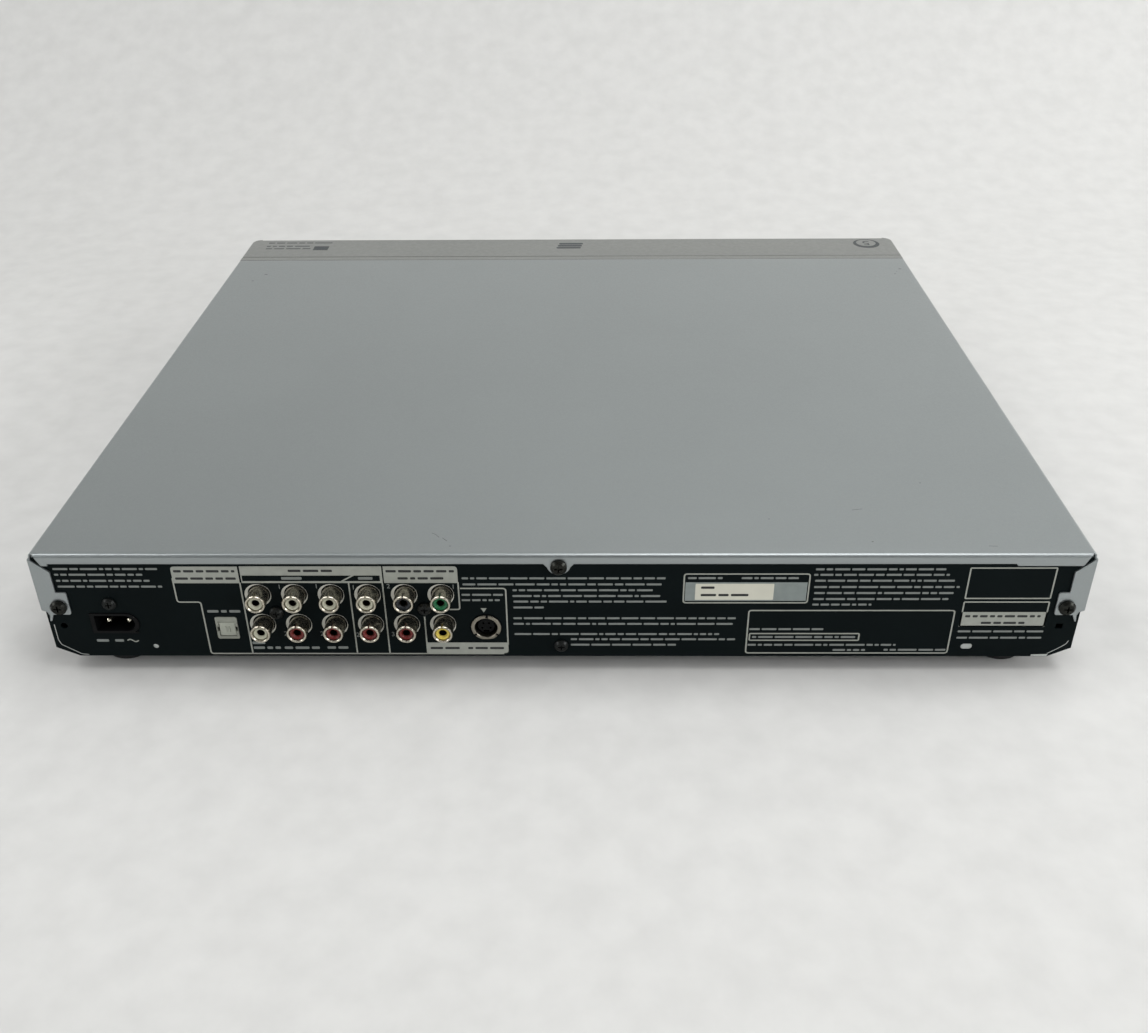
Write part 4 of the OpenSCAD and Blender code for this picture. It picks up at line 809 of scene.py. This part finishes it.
def tracks(material, block, colour):
    """Draws copper runs under a board's mask, a fifth of a block apart. The block's size is in mm."""
    across, copper = 5.0, 0.45
    tree = material.node_tree
    shader = next(n for n in tree.nodes if n.type == "BSDF_PRINCIPLED")
    tone = shader.inputs["Base Color"].links[0].from_socket
    place = next(n for n in tree.nodes if n.type == "TEX_COORD").outputs["Object"]
    cells = add(tree, "TexVoronoi", {"Vector": place, "Scale": 1 / (block * MM)}, distance="CHEBYCHEV")
    runs = add(tree, "Math", {0: cells.outputs["Distance"], 1: across}, operation="MULTIPLY")
    line = add(tree, "Math", {0: runs.outputs[0]}, operation="FRACT")
    wide = add(tree, "Math", {0: line.outputs[0], 1: copper}, operation="LESS_THAN")
    mixed = add(tree, "MixRGB", {"Fac": wide.outputs[0], "Color1": tone, "Color2": colour})
    tree.links.new(mixed.outputs["Color"], shader.inputs["Base Color"])


class PLAYER_OT_mechanism_finish(bpy.types.Operator):
    """Mouldings, gears, motors and plated sheet of the drive"""

    bl_idname = "player.mechanism_finish"
    bl_label = "Mechanism finishes"

    def execute(self, context):
        # Natural white ABS frame: matt, faintly yellow, with flow clouds.
        wear(["mech_frame"], "natural_white_abs", linear("C9C8BF"), (0.45, 0.6), vary=0.04, cloud=40,
             grain=0.8, relief=0.01, edge=0.0003)
        # White acetal gears: waxy, smoother than the frame.
        wear(["loading_pulley", "loading_gear", "carousel_gear", "clamper", "glide_pads"], "white_acetal",
             linear("E2E1DA"), (0.28, 0.4), vary=0.03, cloud=8, relief=0.003, edge=0.0002)
        # Dark acetal slide: charcoal grey, waxy.
        wear(["lift_slide"], "dark_grey_acetal", linear("3A3E41"), (0.3, 0.45), vary=0.08, cloud=8,
             edge=0.0002)
        # Glass-filled black ABS: matt, with a coarse moulded grain.
        wear(["traverse_holder", "turntable", "tray", "carousel"], "black_glass_filled_abs",
             linear("26292B"), (0.5, 0.68), vary=0.08, cloud=35, grain=0.8, relief=0.012, edge=0.0003)
        # Zinc-plated sheet steel: pale blue-grey, rolled lines 0.3 mm apart and soft spangles.
        wear(["clamp_bridge", "traverse_plate"], "zinc_plated_sheet", linear("B5B8B8"), (0.28, 0.45),
             vary=0.08, cloud=12, grain=0.3, relief=0.003, along=(0.05, 1, 1), edge=0.0002, Metallic=1.0)
        # Zinc-plated motor cans: drawn steel with fine level lines.
        wear(["loading_motor", "spindle_motor", "feed_motor", "carousel_motor"], "drawn_motor_can",
             linear("B9BABA"), (0.25, 0.4), vary=0.06, cloud=6, grain=0.3, relief=0.003, along=(1, 1, 8),
             edge=0.0003, Metallic=1.0)
        # Turned brass pulley: yellow, with turning rings.
        wear(["motor_pulley"], "turned_brass", linear("CDB069"), (0.2, 0.35), vary=0.08, cloud=3, grain=0.2,
             relief=0.003, along=(1, 1, 8), Metallic=1.0)
        # Chloroprene belt: matt black with a dusty bloom.
        wear(["drive_belt"], "chloroprene_belt", linear("151515"), (0.7, 0.85), vary=0.2, cloud=4,
             grain=0.3)
        # Blue silicone dampers: soft and slightly dull.
        wear(["traverse_dampers"], "blue_silicone", linear("234A63"), (0.5, 0.65), vary=0.08, cloud=3,
             grain=0.5)
        # Ground steel rods: near mirror, with fine rings.
        wear(["guide_rods", "feed_screw"], "ground_steel_rod", linear("CDCFD0"), (0.1, 0.22), vary=0.04,
             cloud=5, grain=0.25, relief=0.001, along=(1, 6, 1), Metallic=1.0)
        # Die-cast zinc pickup body: grey and slightly grainy.
        wear(["pickup_sled"], "die_cast_zinc", linear("8D8F92"), (0.35, 0.5), vary=0.08, cloud=4, grain=0.5,
             relief=0.01, edge=0.0003, Metallic=0.9)
        # Coated lens: a dark blue-violet bead with a wet shine.
        wear(["pickup_lens"], "coated_lens", linear("2C3C78"), (0.02, 0.06), vary=0.4, cloud=2, grain=1.0,
             relief=0.0002, IOR=1.6, **{"Coat Weight": 1.0, "Coat Roughness": 0.03})
        # Silver-painted cap on the carousel's hub.
        wear(["hub_cap"], "silver_painted_cap", linear("A5A6A3"), (0.3, 0.4), vary=0.03, cloud=8, grain=1.5,
             relief=0.002, edge=0.0003, Metallic=0.4)
        return {"FINISHED"}


# ---------- stage ----------

# The room as the camera sees it, and how far from the player the floor's fade into it starts and ends
ROOM_SEEN, FADE_FROM, FADE_TO = "DCDDDC", 0.95, 1.5
# Where the paper starts to curve behind the player, the curve's radius, its top and its half width
CURVE_Y, CURVE_RADIUS, PAPER_TOP, PAPER_HALF = -0.34, 0.5, 2.4, 2.6
# Half width of the floor behind the paper, and how far under the feet the paper and that floor lie
FLOOR_HALF, PAPER_DROP, FLOOR_DROP = 4, 0.0003, 0.0006


class PLAYER_OT_stage(bpy.types.Operator):
    """Pale paper sweep, soft lamps, room light and camera"""

    bl_idname = "player.stage"
    bl_label = "Studio"

    def execute(self, context):
        look = context.scene.player_stage
        piece("paper_sweep", None, sweep_paper(look.paper), sweep)
        # name, power, place, target, width and depth
        lamps = [
            ("overhead_lamp", look.overhead, (-0.4, 0.1, 1.4), (-0.4, 0.1, 0.0), 0.9, 1.15),
            ("left_lamp", look.side * 1.15, (1.1, 0.1, 1.3), (0.8, 0.1, 0.0), 0.6, 1.0),
            ("right_lamp", look.side, (-1.6, -0.4, 0.8), (-0.8, -0.45, 0.0), 0.8, 0.8),
            ("rear_right_lamp", look.rear * 1.4, (-1.35, 0.85, 0.6), (-0.25, 0.25, 0.0), 0.9, 0.6),
            ("rear_left_lamp", look.rear * 0.75, (1.35, 0.85, 0.6), (0.25, 0.25, 0.0), 0.9, 0.6),
        ]
        for name, power, place, target, wide, deep in lamps:
            lamp = bpy.data.lights.new(name, "AREA")
            lamp.shape = "RECTANGLE"
            lamp.size, lamp.size_y = wide, deep
            lamp.energy = power
            holder = bpy.data.objects.new(name, lamp)
            holder.location = place
            holder.rotation_mode = "QUATERNION"
            holder.rotation_quaternion = (Vector(target) - Vector(place)).to_track_quat("-Z", "Y")
            context.scene.collection.objects.link(holder)
        room(context.scene, look.room)
        camera(context.scene, look)
        context.scene.view_settings.view_transform = "Standard"
        return {"FINISHED"}


def sweep(bm):
    """Paper that lies under the player and curves up behind it."""
    profile = [(PAPER_HALF, 0.0), (CURVE_Y, 0.0)]
    profile += [(CURVE_Y - CURVE_RADIUS * math.sin(a), CURVE_RADIUS - CURVE_RADIUS * math.cos(a))
                for a in (math.radians(90 * k / 16) for k in range(1, 17))]
    profile.append((CURVE_Y - CURVE_RADIUS, PAPER_TOP))
    sheet = [[bm.verts.new((side, y, z - PAPER_DROP)) for y, z in profile]
             for side in (-PAPER_HALF, PAPER_HALF)]
    for i in range(len(profile) - 1):
        face = bm.faces.new((sheet[0][i], sheet[0][i + 1], sheet[1][i + 1], sheet[1][i]))
        face.smooth = True
    # the floor goes on behind the curve, for views from the front
    corners = ((-FLOOR_HALF, -FLOOR_HALF), (FLOOR_HALF, -FLOOR_HALF),
               (FLOOR_HALF, PAPER_HALF), (-FLOOR_HALF, PAPER_HALF))
    bm.faces.new([bm.verts.new((x, y, -FLOOR_DROP)) for x, y in corners])


def sweep_paper(colour):
    # Matt background paper: pale, with soft creases one or two centimetres apart. Seen from behind it
    # lets the camera through, so the player shows from the front as well, and about a metre from the
    # player it starts to fade, for the camera only, into the pale room.
    material = finish("matt_background_paper", colour, (0.85, 0.95), vary=0.04, cloud=16, grain=7,
                      relief=0.08)
    tree = material.node_tree
    out = next(n for n in tree.nodes if n.type == "OUTPUT_MATERIAL")
    shader = out.inputs["Surface"].links[0].from_socket
    sheet = add(tree, "NewGeometry").outputs
    away = add(tree, "VectorMath", {0: sheet["Position"]}, operation="LENGTH").outputs["Value"]
    far = add(tree, "MapRange", {"Value": away, "From Min": FADE_FROM, "From Max": FADE_TO},
              interpolation_type="SMOOTHSTEP").outputs["Result"]
    seen = add(tree, "LightPath").outputs["Is Camera Ray"]
    fade = add(tree, "Math", {0: far, 1: seen}, operation="MULTIPLY").outputs["Value"]
    pale = add(tree, "Emission", {"Color": linear(ROOM_SEEN)}).outputs["Emission"]
    clear = add(tree, "BsdfTransparent").outputs["BSDF"]
    floor = add(tree, "MixShader", {0: fade, 1: shader, 2: pale}).outputs["Shader"]
    shown = add(tree, "MixShader", {0: sheet["Backfacing"], 1: floor, 2: clear}).outputs["Shader"]
    tree.links.new(shown, out.inputs["Surface"])
    return material


def room(scene, strength):
    """Soft light from all round, half as bright from the camera's side, so that black stays black."""
    world = bpy.data.worlds.new("pale_room")
    world.use_nodes = True
    tree = world.node_tree
    tree.nodes.clear()
    facing = add(tree, "TexCoord").outputs["Generated"]
    behind = add(tree, "SeparateXYZ", {"Vector": facing}).outputs["Y"]
    share = add(tree, "MapRange", {"Value": behind, "From Min": 0.1, "From Max": 0.9}).outputs["Result"]
    tone = add(tree, "MixRGB", {"Fac": share, "Color1": linear("F4F4F3"),
                                "Color2": linear("B6B7B8")}).outputs["Color"]
    light = add(tree, "Background", {"Color": tone, "Strength": strength}).outputs["Background"]
    white = add(tree, "Background", {"Color": linear(ROOM_SEEN)}).outputs["Background"]
    seen = add(tree, "LightPath").outputs["Is Camera Ray"]
    both = add(tree, "MixShader", {0: seen, 1: light, 2: white}).outputs["Shader"]
    add(tree, "OutputWorld", {"Surface": both})
    scene.world = world


def camera(scene, look):
    """Camera behind and above the player, aimed by yaw, pitch and roll."""
    lens = bpy.data.cameras.new("camera")
    lens.sensor_width = 36
    lens.lens = look.lens
    ahead = Vector((math.sin(look.yaw) * math.cos(look.pitch), -math.cos(look.yaw) * math.cos(look.pitch),
                    -math.sin(look.pitch)))
    level = Vector((-math.cos(look.yaw), -math.sin(look.yaw), 0))
    above = level.cross(ahead)
    right = math.cos(look.roll) * level + math.sin(look.roll) * above
    up = math.cos(look.roll) * above - math.sin(look.roll) * level
    holder = bpy.data.objects.new("camera", lens)
    scene.collection.objects.link(holder)
    turn = Matrix((right, up, -ahead)).transposed().to_4x4()
    holder.matrix_world = Matrix.Translation(look.place) @ turn
    scene.camera = holder


# ---------- panel and registration ----------

STEPS = [
    PLAYER_OT_case_finish,
    PLAYER_OT_socket_finish,
    PLAYER_OT_electronics_finish,
    PLAYER_OT_mechanism_finish,
    PLAYER_OT_panel_print,
    PLAYER_OT_panel_words,
    PLAYER_OT_label,
    PLAYER_OT_bare_metal,
    PLAYER_OT_front_marks,
    PLAYER_OT_pocket_figures,
    PLAYER_OT_chips,
    PLAYER_OT_stage,
]
SETTINGS = {
    "player_print": PrintSettings,
    "player_case": CaseSettings,
    "player_stage": StageSettings,
}


class PLAYER_PT_sidebar(bpy.types.Panel):
    """Lists the settings and the steps"""

    bl_idname = "PLAYER_PT_sidebar"
    bl_label = "Disc player"
    bl_space_type = "VIEW_3D"
    bl_region_type = "UI"
    bl_category = "Player"

    def draw(self, context):
        for group in SETTINGS:
            box = self.layout.box()
            for name in SETTINGS[group].__annotations__:
                box.prop(getattr(context.scene, group), name)
        for step in STEPS:
            self.layout.operator(step.bl_idname)


def register():
    for made in (*SETTINGS.values(), *STEPS, PLAYER_PT_sidebar):
        bpy.utils.register_class(made)
    for name, group in SETTINGS.items():
        setattr(bpy.types.Scene, name, PointerProperty(type=group))


def unregister():
    for name in SETTINGS:
        delattr(bpy.types.Scene, name)
    for made in (PLAYER_PT_sidebar, *STEPS[::-1], *SETTINGS.values()):
        bpy.utils.unregister_class(made)


def main():
    """Registers the add-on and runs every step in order."""
    register()
    for step in STEPS:
        getattr(bpy.ops.player, step.bl_idname.split(".")[1])()


if __name__ == "__main__":
    main()
